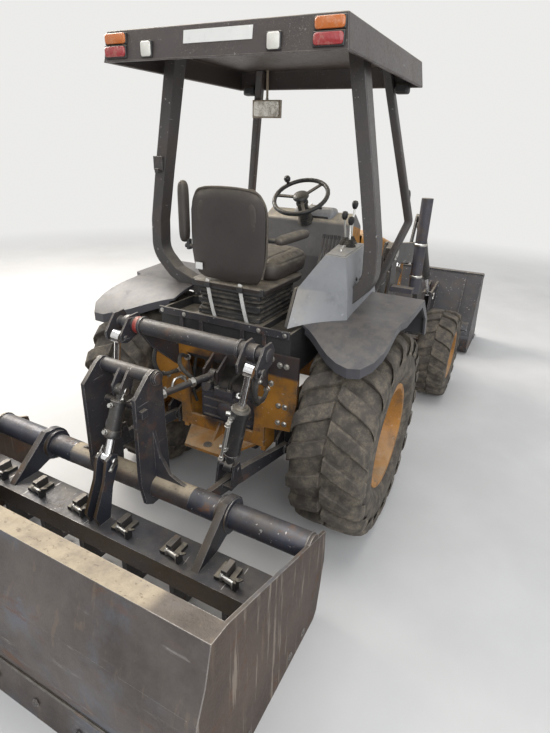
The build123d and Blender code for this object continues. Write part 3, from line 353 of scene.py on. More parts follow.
def smooth(points, steps=8):
    """More points on one soft curve through the given ones."""
    path = [Vector(point) for point in points]
    last = len(path) - 1
    soft = []
    for k in range(last):
        a, b, c, d = path[max(k - 1, 0)], path[k], path[k + 1], path[min(k + 2, last)]
        for n in range(steps):
            t = n / steps
            soft.append(0.5 * ((2 * b) + (c - a) * t + (2 * a - 5 * b + 4 * c - d) * t ** 2
                               + (3 * b - a - 3 * c + d) * t ** 3))
    return soft + [path[-1]]


def rounded(width, height, radius, steps=5):
    """A rounded rectangle's points round the origin."""
    points = []
    for cx, cy, first in ((1, 1, 0), (-1, 1, 90), (-1, -1, 180), (1, -1, 270)):
        for n in range(steps + 1):
            turn = math.radians(first + 90 * n / steps)
            points.append((cx * (width / 2 - radius) + radius * math.cos(turn),
                           cy * (height / 2 - radius) + radius * math.sin(turn)))
    return points


def layered(y, z, width, height, corner, layers, steps=5):
    """Rounded outlines that face along X, for layers of (x, share of the size)."""
    return [[(x, y + a, z + b) for a, b in rounded(width * k, height * k, corner * k, steps)]
            for x, k in layers]


def finished(name, data, finish, body, bevel=0.0, angle=35):
    """Puts a mesh in the scene as a piece: soft shading, sharp edges kept, and an edge radius where one is
    asked for."""
    obj = bpy.data.objects.new(name, data)
    bpy.context.scene.collection.objects.link(obj)
    data.materials.clear()
    data.materials.append(finishes[finish])
    for polygon in data.polygons:
        polygon.use_smooth = True
    data.set_sharp_from_angle(angle=math.radians(angle))
    if bevel:
        rounding = obj.modifiers.new("edge radius", "BEVEL")
        rounding.width = bevel
        rounding.segments = 2
        rounding.limit_method = "ANGLE"
        rounding.angle_limit = math.radians(angle)
        rounding.use_clamp_overlap = True
        rounding.harden_normals = True
    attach(obj, body)
    return obj


def dressed(node, finish, bevel=0.003, angle=35):
    """Stands in for a node: its own shape with whole faces and rounded edges."""
    source = frame["nodes"][node]
    bm = bmesh.new()
    bm.from_mesh(source.data)
    bmesh.ops.remove_doubles(bm, verts=bm.verts, dist=0.00005)
    bmesh.ops.dissolve_limit(bm, angle_limit=math.radians(0.6), verts=bm.verts, edges=bm.edges)
    data = bpy.data.meshes.new(node + "_shape")
    bm.to_mesh(data)
    bm.free()
    obj = finished(node + "_dressed", data, finish, source["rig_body"], bevel, angle)
    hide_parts(node)
    return obj


def new_tree(name, *sockets):
    """A Geometry Nodes tree with a mesh and a finish in, a mesh out and named inputs."""
    tree = bpy.data.node_groups.new(name, "GeometryNodeTree")
    tree.interface.new_socket("Geometry", in_out="INPUT", socket_type="NodeSocketGeometry")
    tree.interface.new_socket("Finish", in_out="INPUT", socket_type="NodeSocketMaterial")
    for label, kind, value in sockets:
        socket = tree.interface.new_socket(label, in_out="INPUT", socket_type=kind)
        socket.default_value = value
    tree.interface.new_socket("Geometry", in_out="OUTPUT", socket_type="NodeSocketGeometry")
    start = new_node(tree, "NodeGroupInput")
    real = new_node(tree, "GeometryNodeRealizeInstances")
    coat = new_node(tree, "GeometryNodeSetMaterial", inputs={
        "Geometry": real.outputs[0], "Material": start.outputs["Finish"]})
    new_node(tree, "NodeGroupOutput", inputs={0: coat.outputs[0]})
    return tree, start, real


def ring_tree():
    """Repeats a mesh that is drawn round the origin about the Y axis, then sets it at its centre."""
    tree, start, real = new_tree("Repeat round axle", ("Count", "NodeSocketInt", 20),
                                 ("Centre", "NodeSocketVector", (0, 0, 0)))
    line = new_node(tree, "GeometryNodeMeshLine", inputs={
        "Offset": (0, 0, 0), "Count": start.outputs["Count"]})
    index = new_node(tree, "GeometryNodeInputIndex")
    part = new_node(tree, "ShaderNodeMath", {"operation": "DIVIDE"},
                    {0: index.outputs[0], 1: start.outputs["Count"]})
    turn = new_node(tree, "ShaderNodeMath", {"operation": "MULTIPLY"}, {0: part.outputs[0], 1: 2 * math.pi})
    angles = new_node(tree, "ShaderNodeCombineXYZ", inputs={"Y": turn.outputs[0]})
    copies = new_node(tree, "GeometryNodeInstanceOnPoints", inputs={
        "Points": line.outputs[0], "Instance": start.outputs["Geometry"], "Rotation": angles.outputs[0]})
    place = new_node(tree, "GeometryNodeTransform", inputs={
        "Geometry": copies.outputs[0], "Translation": start.outputs["Centre"]})
    tree.links.new(place.outputs[0], real.inputs[0])
    return tree


def row_tree():
    """Repeats a mesh in even steps along a line."""
    tree, start, real = new_tree("Repeat along line", ("Count", "NodeSocketInt", 5),
                                 ("Step", "NodeSocketVector", (0.1, 0, 0)))
    line = new_node(tree, "GeometryNodeMeshLine", inputs={
        "Count": start.outputs["Count"], "Offset": start.outputs["Step"]})
    copies = new_node(tree, "GeometryNodeInstanceOnPoints", inputs={
        "Points": line.outputs[0], "Instance": start.outputs["Geometry"]})
    tree.links.new(copies.outputs[0], real.inputs[0])
    return tree


def bolt_tree():
    """Puts a hexagon head on a washer at each point, standing along the point's own direction."""
    tree, start, real = new_tree("Bolt heads", ("Radius", "NodeSocketFloat", 0.012),
                                 ("Height", "NodeSocketFloat", 0.01))
    joined = new_node(tree, "GeometryNodeJoinGeometry")
    for sides, wider, taller, lift in ((6, 1.0, 1.0, 0.5), (16, 1.45, 0.25, 0.125)):
        radius, depth, height = (
            new_node(tree, "ShaderNodeMath", {"operation": "MULTIPLY"},
                     {0: start.outputs[label], 1: share}).outputs[0]
            for label, share in (("Radius", wider), ("Height", taller), ("Height", lift)))
        head = new_node(tree, "GeometryNodeMeshCylinder",
                        inputs={"Vertices": sides, "Radius": radius, "Depth": depth})
        up = new_node(tree, "ShaderNodeCombineXYZ", inputs={"Z": height})
        raised = new_node(tree, "GeometryNodeTransform", inputs={
            "Geometry": head.outputs["Mesh"], "Translation": up.outputs[0]})
        tree.links.new(raised.outputs[0], joined.inputs[0])
    facing = new_node(tree, "GeometryNodeInputNamedAttribute", {"data_type": "FLOAT_VECTOR"},
                      {"Name": "facing"})
    turned = new_node(tree, "FunctionNodeAlignRotationToVector",
                      inputs={"Vector": facing.outputs["Attribute"]})
    copies = new_node(tree, "GeometryNodeInstanceOnPoints", inputs={
        "Points": start.outputs["Geometry"], "Instance": joined.outputs[0], "Rotation": turned.outputs[0]})
    tree.links.new(copies.outputs[0], real.inputs[0])
    return tree


def repeated(name, data, tree, finish, body, bevel=0.0, angle=35, **inputs):
    """Runs a tree on a mesh and keeps the result as a plain piece."""
    source = bpy.data.objects.new(name + "_source", data)
    bpy.context.scene.collection.objects.link(source)
    repeat = source.modifiers.new("repeat", "NODES")
    repeat.node_group = tree
    values = {label.replace("_", " "): value for label, value in inputs.items()}
    values["Finish"] = finishes[finish]
    for item in tree.interface.items_tree:
        if item.item_type == "SOCKET" and item.in_out == "INPUT" and item.name in values:
            repeat[item.identifier] = values[item.name]
    bpy.context.view_layer.update()
    shape = bpy.data.meshes.new_from_object(source.evaluated_get(bpy.context.evaluated_depsgraph_get()))
    shape.name = name
    bpy.data.objects.remove(source)
    return finished(name, shape, finish, body, bevel, angle=angle)


def bolts(name, places, finish, body, radius=12.0, height=10.0):
    """Hexagon heads at points, each with the direction it stands in."""
    data = bpy.data.meshes.new(name)
    data.from_pydata([at(*point) for point, facing in places], [], [])
    attribute = data.attributes.new("facing", "FLOAT_VECTOR", "POINT")
    for k, (point, facing) in enumerate(places):
        attribute.data[k].vector = Vector(facing).normalized()
    repeated(name, data, trees["bolts"], finish, body, Radius=radius / 1000, Height=height / 1000)


trees = {}
finishes = {}

DUST = (0.50, 0.42, 0.30)
RUST = (0.115, 0.052, 0.026)
SOIL = (0.085, 0.062, 0.044)
BARE = (0.46, 0.44, 0.42)


def shade(colour, share):
    """A colour made darker or lighter."""
    return tuple(min(part * share, 1.0) for part in colour)


def weathered(name, colour, rough=0.45, tone=0.25, soil=0.4, dust=0.5, wear=0.4, rust=0.25, scale=1.0,
              metal=0.0, behind=None, darkened_window=False):
    """Paint or steel with uneven tone, settled dust, soil, chipped edges, scratches and rust; what faces
    backwards may be stained with a colour of its own, and the rear plate may be darkened to near black in a
    ragged disc round the shaft's window and in a patch at its upper right."""
    finish = Finish(name)
    broad = finish.noise(2.6 * scale, 5, 0.6).between(0.3, 0.7)
    base = finish.mix(shade(colour, 1 - tone), shade(colour, 1 + tone), broad)
    grime = finish.noise(7.5 * scale, 9, 0.68, distort=0.4).between(0.46, 0.72) * soil
    base = finish.mix(base, SOIL, grime)
    brown = finish.noise(4.8 * scale, 10, 0.72, turn=(0.5, 0.2, 0.9)).between(0.55, 0.68)
    fine = finish.noise(85 * scale, 3, 0.6).between(0.35, 0.7)
    brown = (brown * (0.45 + 0.55 * fine) * rust * 2.2).clamped()
    base = finish.mix(base, RUST, brown)
    chipped = finish.edges(0.005) * finish.noise(16, 7, 0.65).between(0.40, 0.56)
    scratch = finish.noise(52, 2, 0.5, stretch=(0.10, 0.9, 1.0), turn=(0, 0.55, 0.3)).between(0.70, 0.745)
    spots = finish.noise(115, 2, 0.5).between(0.70, 0.76) * finish.noise(9, 4).between(0.45, 0.62)
    bare = ((chipped.most(scratch * 0.8).most(spots)) * wear * 1.6).clamped()
    base = finish.mix(base, BARE, bare)
    film = finish.facing("Z").between(0.15, 0.97)
    film = film * (0.35 + 0.65 * finish.noise(11, 7, 0.6).between(0.3, 0.66))
    speck = finish.noise(240, 2, 0.5).between(0.56, 0.70) * finish.noise(3.4, 4).between(0.35, 0.65) * 0.5
    veil = (film.most(speck) * dust).clamped()
    base = finish.mix(base, DUST, veil)
    if behind:
        stain = finish.facing("X").between(-0.4, -0.9)
        stain = stain * (0.4 + 0.6 * finish.noise(6, 6, 0.65).between(0.3, 0.6))
        base = finish.mix(base, behind, stain * 0.8)
    if darkened_window:
        # Darkened to near black in a ragged disc round the shaft's window and in a patch at its upper right.
        across, height = finish.axis("Y") + 0.102, finish.axis("Z")
        ring = across * across + (height - 0.87) * (height - 0.87)
        ragged = ring + finish.noise(9, 5).between(0.3, 0.7) * 0.03
        guard = height.between(1.04, 1.06) * across.between(-0.12, -0.16)
        base = finish.mix(base, (0.020, 0.019, 0.024), ragged.between(0.105, 0.06).most(guard) * 0.93)
    gloss = (rough + 0.28 * grime + 0.25 * brown + 0.3 * veil - 0.12 * bare + 0.10 * (fine - 0.5)).clamped()
    shine = (metal * (1 - veil) * (1 - brown)).most(bare * 0.75)
    relief = fine * 0.35 + brown * 0.8 - bare * 0.5 + finish.noise(28 * scale, 5).between(0.2, 0.8) * 0.4
    return finish.done(base, gloss, shine, relief, 0.0006)


def rubber(name, colour, dusty=0.5, fine=140):
    """Dusty rubber, paler on what stands out."""
    finish = Finish(name)
    broad = finish.noise(4, 6, 0.62).between(0.3, 0.7)
    small = finish.noise(fine, 4, 0.6).between(0.3, 0.7)
    base = finish.mix(shade(colour, 0.72), shade(colour, 1.25), broad)
    veil = (finish.noise(13, 9, 0.7).between(0.40, 0.66) * (0.35 + 0.65 * small) * dusty).clamped()
    base = finish.mix(base, shade(DUST, 0.72), veil * 0.75)
    scuff = finish.edges(0.010) * finish.noise(20, 5).between(0.38, 0.6)
    base = finish.mix(base, shade(DUST, 0.9), scuff * 0.42 * dusty)
    nicks = finish.cells(55).between(0.18, 0.02) * finish.noise(6, 3).between(0.5, 0.62)
    return finish.done(base, (0.72 + 0.18 * small).clamped(), 0.0, small * 0.5 - nicks * 0.9, 0.0009)


def moulded(name, colour, rough=0.5, dust=0.45, pebble=300, depth=0.0004, fade=0.2):
    """Moulded plastic with a fine grain, faded and dusty on top."""
    finish = Finish(name)
    broad = finish.noise(3.2, 6, 0.62).between(0.28, 0.72)
    base = finish.mix(shade(colour, 1 - fade), shade(colour, 1 + fade), broad)
    grain = finish.cells(pebble).between(0.0, 0.8)
    stains = finish.noise(9, 9, 0.7).between(0.52, 0.72)
    base = finish.mix(base, shade(colour, 0.55), stains * 0.5)
    scuffs = finish.noise(46, 3, 0.5, stretch=(0.15, 1, 1), turn=(0.3, 0.2, 0.8)).between(0.68, 0.74)
    base = finish.mix(base, shade(colour, 1.9), scuffs * 0.35)
    film = finish.facing("Z").between(0.05, 0.9) * (0.3 + 0.7 * finish.noise(14, 8, 0.66).between(0.32, 0.66))
    veil = (film * dust).clamped()
    base = finish.mix(base, DUST, veil)
    gloss = (rough + 0.2 * veil + 0.15 * stains - 0.05 * scuffs).clamped()
    return finish.done(base, gloss, 0.0, grain * 0.5 - scuffs * 0.4 + broad * 0.3, depth)


def vinyl(name, colour, dust=0.4):
    """Seat cover with a leather grain, small cracks and a dusty bloom."""
    finish = Finish(name)
    broad = finish.noise(5, 6, 0.6).between(0.3, 0.7)
    base = finish.mix(shade(colour, 0.8), shade(colour, 1.3), broad)
    grain = finish.cells(420).between(0.05, 0.7)
    crease = finish.noise(38, 6, 0.7, stretch=(1, 0.35, 1)).between(0.60, 0.67)
    crease = crease * finish.noise(5, 3).between(0.45, 0.6)
    base = finish.mix(base, shade(colour, 0.45), crease * 0.7)
    bloom = ((finish.facing("Z").between(-0.2, 0.95)).most(finish.edges(0.012)) * dust
             * (0.35 + 0.65 * finish.noise(17, 8, 0.66).between(0.34, 0.64))).clamped()
    base = finish.mix(base, shade(DUST, 0.8), bloom)
    return finish.done(base, (0.46 + 0.25 * bloom + 0.12 * broad).clamped(), 0.0, grain * 0.7 - crease,
                       0.0005)


def plated(name, colour, rough=0.14, streak=0.3):
    """Bright plated metal with light streaks along its length and a little dust."""
    finish = Finish(name)
    lines = finish.noise(150, 2, 0.5, stretch=(1, 1, 0.06)).between(0.35, 0.7)
    film = finish.noise(12, 7, 0.65).between(0.48, 0.72)
    base = finish.mix(colour, shade(DUST, 0.7), film * streak)
    gloss = (rough + 0.1 * lines + 0.4 * film * streak).clamped()
    return finish.done(base, gloss, 1 - 0.6 * film * streak, lines, 0.0001)


def lens(name, colour, glow=0.0):
    """Ribbed coloured lens."""
    finish = Finish(name)
    ribs = finish.node("ShaderNodeTexWave", {"wave_type": "BANDS", "bands_direction": "Y"},
                       {"Vector": finish.place, "Scale": 55.0}, "Fac")
    film = finish.noise(26, 6, 0.6).between(0.45, 0.7)
    base = finish.mix(colour, DUST, film * 0.25)
    return finish.done(base, (0.16 + 0.3 * film).clamped(), 0.0, ribs, 0.0008, Coat_Weight=0.6,
                       Emission_Color=(*colour, 1), Emission_Strength=glow)


def scraped_steel():
    """The scraper's worn rear plate: brown-grey, blue and rusty in patches, with long polished strokes, and a
    tan top that is partly dust and partly a painted sunlit patch.
    """
    finish = Finish("scraped steel")
    broad = finish.noise(1.7, 7, 0.66).between(0.3, 0.7)
    base = finish.mix((0.052, 0.042, 0.038), (0.135, 0.115, 0.105), broad)
    side = finish.facing("Y").size().between(0.6, 0.95)
    base = finish.mix(base, finish.mix((0.045, 0.028, 0.020), (0.095, 0.062, 0.044), broad), side * 0.85)
    blue = finish.noise(2.9, 6, 0.6, turn=(0.4, 0.1, 0)).between(0.5, 0.68)
    base = finish.mix(base, (0.12, 0.14, 0.175), blue * 0.6 * (1 - side))
    rusty = finish.noise(5.6, 10, 0.74, stretch=(1, 0.35, 1)).between(0.54, 0.68)
    base = finish.mix(base, (0.135, 0.062, 0.030), rusty * 0.75)
    strokes = finish.noise(30, 5, 0.6, stretch=(1, 0.055, 1)).between(0.50, 0.66)
    scuff = finish.noise(7, 8, 0.72, stretch=(1, 0.45, 1.3)).between(0.55, 0.72) * strokes
    base = finish.mix(base, (0.40, 0.38, 0.365), scuff * 0.85 * (1 - side))
    lines = finish.noise(34, 4, 0.6, stretch=(1, 1, 0.07), turn=(0, 0.5, 0)).between(0.56, 0.68)
    base = finish.mix(base, (0.30, 0.25, 0.20), lines * side * 0.7)
    drips = finish.noise(24, 4, 0.6, stretch=(1, 1, 0.09)).between(0.58, 0.72) * 0.35
    base = finish.mix(base, (0.22, 0.16, 0.11), drips)
    bright = finish.edges(0.007) * finish.noise(10, 5).between(0.34, 0.55)
    base = finish.mix(base, (0.62, 0.59, 0.56), bright * 0.85)
    # Tan on the upward faces is partly dust and partly a painted sunlit patch: it fades out towards the
    # right-hand end, at low Y.
    film = finish.facing("Z").between(0.45, 0.98)
    film = film * (0.45 + 0.55 * finish.noise(9, 8, 0.68).between(0.26, 0.62))
    film = film * (0.15 + 0.85 * (finish.axis("Y") + 0.03 * broad).between(-0.76, -0.68))
    marks = finish.noise(70, 3, 0.6, stretch=(1, 0.5, 1)).between(0.60, 0.68)
    tan = finish.mix((0.44, 0.36, 0.25), (0.20, 0.15, 0.10), marks * 0.7)
    base = finish.mix(base, tan, (film * 0.95).clamped())
    fine = finish.noise(120, 4, 0.65).between(0.3, 0.7)
    gloss = (0.55 + 0.2 * rusty - 0.22 * scuff + 0.3 * film + 0.1 * (fine - 0.5)).clamped()
    shine = ((scuff * 0.7 + bright * 0.8 + 0.35) * (1 - film) * (1 - 0.7 * rusty)).clamped()
    return finish.done(base, gloss, shine, fine * 0.5 + rusty * 0.7 - strokes * 0.25, 0.0009)


def screen():
    """Punched sheet: rows of holes painted near black as painted shade, in dusty black sheet."""
    finish = Finish("punched screen")
    # Painted shade: the holes are not cut but painted near black for the dark seen through them.
    holes = finish.cells(105).between(0.62, 0.30)
    film = finish.noise(10, 7, 0.66).between(0.4, 0.7)
    base = finish.mix((0.10, 0.09, 0.08), (0.32, 0.27, 0.20), film * 0.7)
    base = finish.mix(base, (0.006, 0.006, 0.006), holes)
    return finish.done(base, 0.62, 0.3, 1 - holes, 0.0012)


def webbing():
    """Pale woven strap."""
    finish = Finish("strap webbing")
    weave = finish.node("ShaderNodeTexWave", {"wave_type": "BANDS", "bands_direction": "Z"},
                        {"Vector": finish.place, "Scale": 160.0, "Distortion": 0.6}, "Fac")
    grubby = finish.noise(20, 6, 0.6).between(0.4, 0.7)
    base = finish.mix((0.66, 0.64, 0.60), (0.36, 0.31, 0.25), grubby * 0.5)
    base = finish.mix(base, (0.45, 0.43, 0.40), weave * 0.3)
    return finish.done(base, 0.85, 0.0, weave, 0.0005)


def mirror_glass():
    finish = Finish("mirror glass")
    speck = finish.noise(210, 3, 0.6).between(0.55, 0.68)
    film = finish.noise(18, 6, 0.65).between(0.35, 0.7)
    base = finish.mix((0.62, 0.60, 0.55), (0.34, 0.27, 0.19), (speck * 0.8).most(film * 0.45))
    return finish.done(base, (0.12 + 0.5 * speck + 0.25 * film).clamped(), (1 - 0.8 * speck), speck, 0.0003)


def make_finishes(look):
    """Every finish, by a short name."""
    yellow = tuple(look.yellow)
    made = {
        "canopy": weathered("canopy paint", tuple(look.canopy), 0.42, 0.12, 0.25, 0.55, 0.25, 0.05),
        "post": weathered("post paint", (0.060, 0.054, 0.052), 0.40, 0.15, 0.3, 0.35, 0.5, 0.12),
        "yellow": weathered("frame paint", shade(yellow, 0.9), 0.45, 0.22, 0.85, 0.5, 0.4, 0.35),
        "soiled": weathered("soiled paint", shade(yellow, 0.66), 0.5, 0.3, 1.0, 0.35, 0.5, 0.6,
                            darkened_window=True),
        "hood": weathered("hood paint", shade(yellow, 1.1), 0.36, 0.12, 0.3, 0.5, 0.3, 0.08),
        "rim": weathered("rim paint", shade(yellow, 0.75), 0.5, 0.2, 0.75, 0.4, 0.3, 0.3),
        "arm": weathered("arm paint", (0.050, 0.047, 0.046), 0.44, 0.2, 0.4, 0.45, 0.6, 0.2),
        "hitch": weathered("hitch paint", (0.030, 0.029, 0.034), 0.42, 0.3, 0.45, 0.20, 0.75, 0.4),
        "barrel": weathered("barrel paint", (0.028, 0.027, 0.028), 0.34, 0.2, 0.3, 0.3, 0.4, 0.1),
        "cast": weathered("cast iron", (0.048, 0.046, 0.056), 0.55, 0.25, 0.8, 0.3, 0.25, 0.4, 1.3),
        "engine": weathered("engine casting", (0.055, 0.050, 0.047), 0.6, 0.25, 0.8, 0.5, 0.2, 0.3),
        "pipe": weathered("pipe steel", (0.060, 0.066, 0.088), 0.42, 0.35, 0.5, 0.14, 1.0, 0.9, 0.8, 0.45),
        "beam": weathered("beam steel", (0.034, 0.037, 0.048), 0.44, 0.3, 0.4, 0.12, 0.6, 0.4, 0.9, 0.3,
                          behind=(0.105, 0.066, 0.030)),
        "shank": weathered("shank steel", (0.085, 0.080, 0.078), 0.42, 0.3, 0.5, 0.2, 0.9, 0.6, 1.1, 0.5),
        "bucket": weathered("bucket steel", (0.042, 0.041, 0.046), 0.46, 0.3, 0.6, 0.25, 0.9, 0.5, 0.8, 0.35),
        "scraper": scraped_steel(),
        "tyre": rubber("tyre rubber", tuple(look.rubber), 0.55),
        "hose": rubber("hose rubber", (0.022, 0.022, 0.023), 0.35, 260),
        "bellows": rubber("bellows rubber", (0.020, 0.019, 0.019), 0.45, 220),
        "grip": moulded("grip plastic", (0.018, 0.018, 0.019), 0.42, 0.25, 420),
        "fender": moulded("fender plastic", tuple(look.fender), 0.42, 0.15, 380, 0.0003, 0.14),
        "console": moulded("console plastic", (0.255, 0.258, 0.265), 0.46, 0.5, 420, 0.0003, 0.12),
        "cowl": moulded("cowl plastic", (0.165, 0.155, 0.148), 0.52, 0.85, 380, 0.0004, 0.2),
        "black": moulded("black plastic", (0.030, 0.029, 0.029), 0.45, 0.4, 380),
        "shell": moulded("seat shell", (0.038, 0.031, 0.028), 0.42, 0.35, 360),
        "vinyl": vinyl("seat vinyl", tuple(look.vinyl), 0.5),
        "chrome": plated("rod chrome", (0.80, 0.80, 0.81), 0.10, 0.3),
        "zinc": plated("zinc plate", (0.62, 0.61, 0.58), 0.30, 0.6),
        "plate": moulded("blank plate", (0.70, 0.69, 0.65), 0.35, 0.15, 500, 0.0001, 0.05),
        "amber": lens("amber lens", (0.46, 0.115, 0.012), 0.12),
        "red": lens("red lens", (0.30, 0.016, 0.020), 0.08),
        "clear": lens("clear lens", (0.62, 0.60, 0.54), 0.1),
        "ring": weathered("red ring", (0.30, 0.035, 0.028), 0.4, 0.15, 0.3, 0.3, 0.3, 0.1),
        "screen": screen(),
        "strap": webbing(),
        "mirror": mirror_glass(),
        "tan": moulded("tan frame", (0.36, 0.30, 0.22), 0.5, 0.4, 380),
    }
    finishes.update(made)


def carcass(profile, centre, steps=72):
    """A ring of rubber from (sideways, radius) pairs, about the Y axis."""
    shape = Shape()
    rings = []
    for n in range(steps):
        turn = 2 * math.pi * n / steps
        rings.append([(centre[0] + radius * math.cos(turn), centre[1] + side,
                       centre[2] + radius * math.sin(turn))
                      for side, radius in profile])
    return shape.rings(rings, closed=True)


def tread_bar(side, lug, size, half_pitch):
    """One lug of the left or right half, drawn round the origin; the middle of the tread leads."""
    shape = Shape(Vector())
    rings = []
    last = len(lug) - 1
    for k, (across, low, high) in enumerate(lug):
        share = k / last
        lead = (size["sweep"] * share ** 0.86) / size["radius"] + half_pitch
        wide = (size["base"] - 6 * share) / 2
        flat = (size["top"] - 4 * share) / 2
        if k in (0, last):
            flat *= 0.92
        ring = []
        for radius, half in ((low, wide), (high - size["soft"], flat + 3), (high, flat - size["soft"]),
                             (high, -flat + size["soft"]), (high - size["soft"], -flat - 3), (low, -wide)):
            turn = lead + half / size["radius"]
            ring.append((radius * math.cos(turn), side * across, radius * math.sin(turn)))
        rings.append(ring)
    return shape.rings(rings)


def tyre(name, node, body, carcass_half, lug, size, count, steps):
    """Carcass and two rows of lugs, standing in for one tyre node."""
    low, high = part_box(node)
    centre = (low + high) / 2
    middle = (centre - AXLE) * 1000
    carcass(carcass_half, middle, steps).piece(name + "_carcass", "tyre", body, angle=50)
    for side in (1, -1):
        bar = tread_bar(side, lug, size, 0.0 if side > 0 else math.pi / count)
        data = bar.mesh(name + "_lug")
        piece = repeated(name + ("_lugs_outer" if side > 0 else "_lugs_inner"), data, trees["ring"],
                         "tyre", body, bevel=0.004, angle=30, Count=count, Centre=centre)
    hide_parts(node)


def both(profile):
    """A profile of (side, radius) pairs from the middle out, completed to the other side."""
    return [(-side, radius) for side, radius in reversed(profile)] + list(profile)


def make_rear_tyres(count):
    outside = [(0, 599), (80, 597), (150, 590), (188, 578), (206, 562), (212, 540), (209, 516), (213, 510),
               (213, 500), (215, 496), (218, 470), (220, 440), (217, 408), (218, 404), (214, 397), (208, 372),
               (196, 348), (186, 338), (184, 326), (178, 318), (178, 306), (160, 304)]
    inside = [(150, 312), (160, 345), (186, 380), (196, 440), (188, 510), (160, 555), (80, 575), (0, 577)]
    profile = both(outside[1:]) + [(side, radius) for side, radius in inside] + [
        (-side, radius) for side, radius in reversed(inside[:-1])]
    lug = [(4, 592, 633), (60, 590, 632.5), (120, 586, 630), (162, 574, 624), (196, 556, 611),
           (214, 540, 592), (220, 522, 566), (222, 508, 540), (219, 502, 516)]
    size = {"sweep": 176.0, "radius": 620.0, "base": 100.0, "top": 84.0, "soft": 5.0}
    for side in ("left", "right"):
        tyre("tyre_rear_" + side, "tyre_rear_" + side, "rear_wheel_" + side, profile, lug, size, count, 80)


def make_front_tyres(count):
    outside = [(0, 394), (60, 393), (104, 388), (130, 378), (142, 366), (147, 350), (145, 336), (148, 332),
               (150, 310), (151, 290), (148, 268), (144, 252), (132, 236), (127, 226), (122, 220), (122, 211),
               (108, 209)]
    inside = [(100, 216), (112, 240), (128, 262), (134, 296), (126, 340), (104, 362), (60, 378), (0, 380)]
    profile = both(outside[1:]) + list(inside) + [(-side, radius) for side, radius in reversed(inside[:-1])]
    lug = [(3, 388, 418.4), (44, 387, 418), (86, 383, 416), (116, 376, 411), (138, 364, 402), (150, 350, 388),
           (153.5, 336, 366), (153, 326, 344)]
    size = {"sweep": 96.0, "radius": 408.0, "base": 80.0, "top": 66.0, "soft": 4.0}
    for side in ("left", "right"):
        tyre("tyre_front_" + side, "tyre_front_" + side, "front_wheel_" + side, profile, lug, size, count, 64)


def make_rims():
    """Painted rims, with a ring of wheel nuts on each."""
    for axle, steps, pitch, out, nut in (("rear", 8, 112.0, -22.0, 13.0), ("front", 8, 82.0, 38.0, 10.0)):
        for side, sign in (("left", 1), ("right", -1)):
            node = f"rim_{axle}_{side}"
            body = f"{axle}_wheel_{side}"
            dressed(node, "rim", 0.003)
            low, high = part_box(node)
            centre = (low + high) / 2
            one = Shape(Vector())
            one.hexagon((pitch, 0, 0), (0, sign, 0), nut, 18)
            one.bar((pitch, sign * 16, 0), (pitch, sign * 28, 0), nut * 0.5, 10)
            track = (754 if axle == "rear" else 860) * sign
            place = Vector((centre.x, AXLE.y + (track + sign * out) / 1000, centre.z))
            repeated(f"wheel_nuts_{axle}_{side}", one.mesh("nut"), trees["ring"], "zinc", body,
                     Count=steps, Centre=place)


def make_running_gear():
    """Frame, axles, knuckles and the parts bolted to them."""
    dressed("frame_rails", "yellow", 0.003)
    dressed("transaxle", "cast", 0.006)
    dressed("front_axle", "cast", 0.004)
    dressed("knuckle_left", "cast", 0.004)
    dressed("knuckle_right", "cast", 0.004)
    dressed("steering_rod", "chrome", 0.002)
    dressed("link_mounts", "hitch", 0.003)
    dressed("rear_frame", "soiled", 0.003)
    dressed("engine_block", "engine", 0.02)
    places = []
    for side in (-1, 1):
        for turn in range(0, 360, 30):
            a = math.radians(turn)
            places.append(((132 * math.cos(a), side * 652, 634 + 132 * math.sin(a)), (0, -side, 0)))
    bolts("hub_bolts", places, "zinc", "tractor", 9, 9)
    places = []
    for y in (-430, -390, 390, 430):
        for z in (760, 870, 1120):
            places.append(((REAR_PLATE_X, y, z), (-1, 0, 0)))
    for y in (-285, -270, 270, 285):
        places.append(((REAR_PLATE_X, y, 880), (-1, 0, 0)))
    bolts("frame_bolts", places, "zinc", "tractor", 12, 11)
    case = Shape()
    for z in (500, 560, 620, 680, 740, 800):
        case.block((-346, -328), (-172, 172), (z, z + 12))
    case.lathe([(0, 0), (58, 0), (62, 8), (62, 26), (40, 36), (0, 36)], (-328, 0, 690), (-1, 0, 0), 24)
    case.bar((-300, 120, 820), (-372, 120, 850), 26, 14)
    case.bar((-372, 120, 850), (-384, 120, 855), 34, 14)
    case.bar((-310, -110, 826), (-380, -110, 846), 17, 12)
    case.block((-372, -336), (-60, 70), (800, 846))
    case.piece("axle_case_ribs", "cast", "tractor", 0.004)
    pipes = Shape()
    pipes.tube(smooth([(-350, 60, 850), (-366, 80, 930), (-352, 130, 1010), (-330, 160, 1110),
                       (-330, 150, 1180)]), 12)
    pipes.tube(smooth([(-350, -30, 850), (-372, -60, 930), (-356, -120, 1000), (-330, -170, 1090),
                       (-320, -170, 1190)]), 12)
    pipes.tube(smooth([(-380, -112, 846), (-392, -150, 880), (-372, -200, 960), (-340, -210, 1080),
                       (-330, -205, 1190)]), 10)
    pipes.tube(smooth([(-330, 230, 700), (-360, 232, 800), (-352, 228, 920), (-340, 200, 1100)]), 10)
    pipes.piece("rear_hoses", "hose", "tractor")
    ends = Shape()
    for start, along in (((-350, 60, 842), (-0.2, 0.3, 1)), ((-350, -30, 842), (-0.2, -0.3, 1)),
                         ((-374, -111, 845), (-0.6, -0.6, 0.5))):
        ends.hexagon(start, along, 17, 20, 1.1)
    ends.piece("rear_hose_ends", "zinc", "tractor", 0.001)
    ledge = Shape()
    ledge.bar((-548, 0, 560), (-548, 0, 566), 27, 20)
    ledge.piece("drawbar_wear_ring", "shank", "tractor", 0.001)


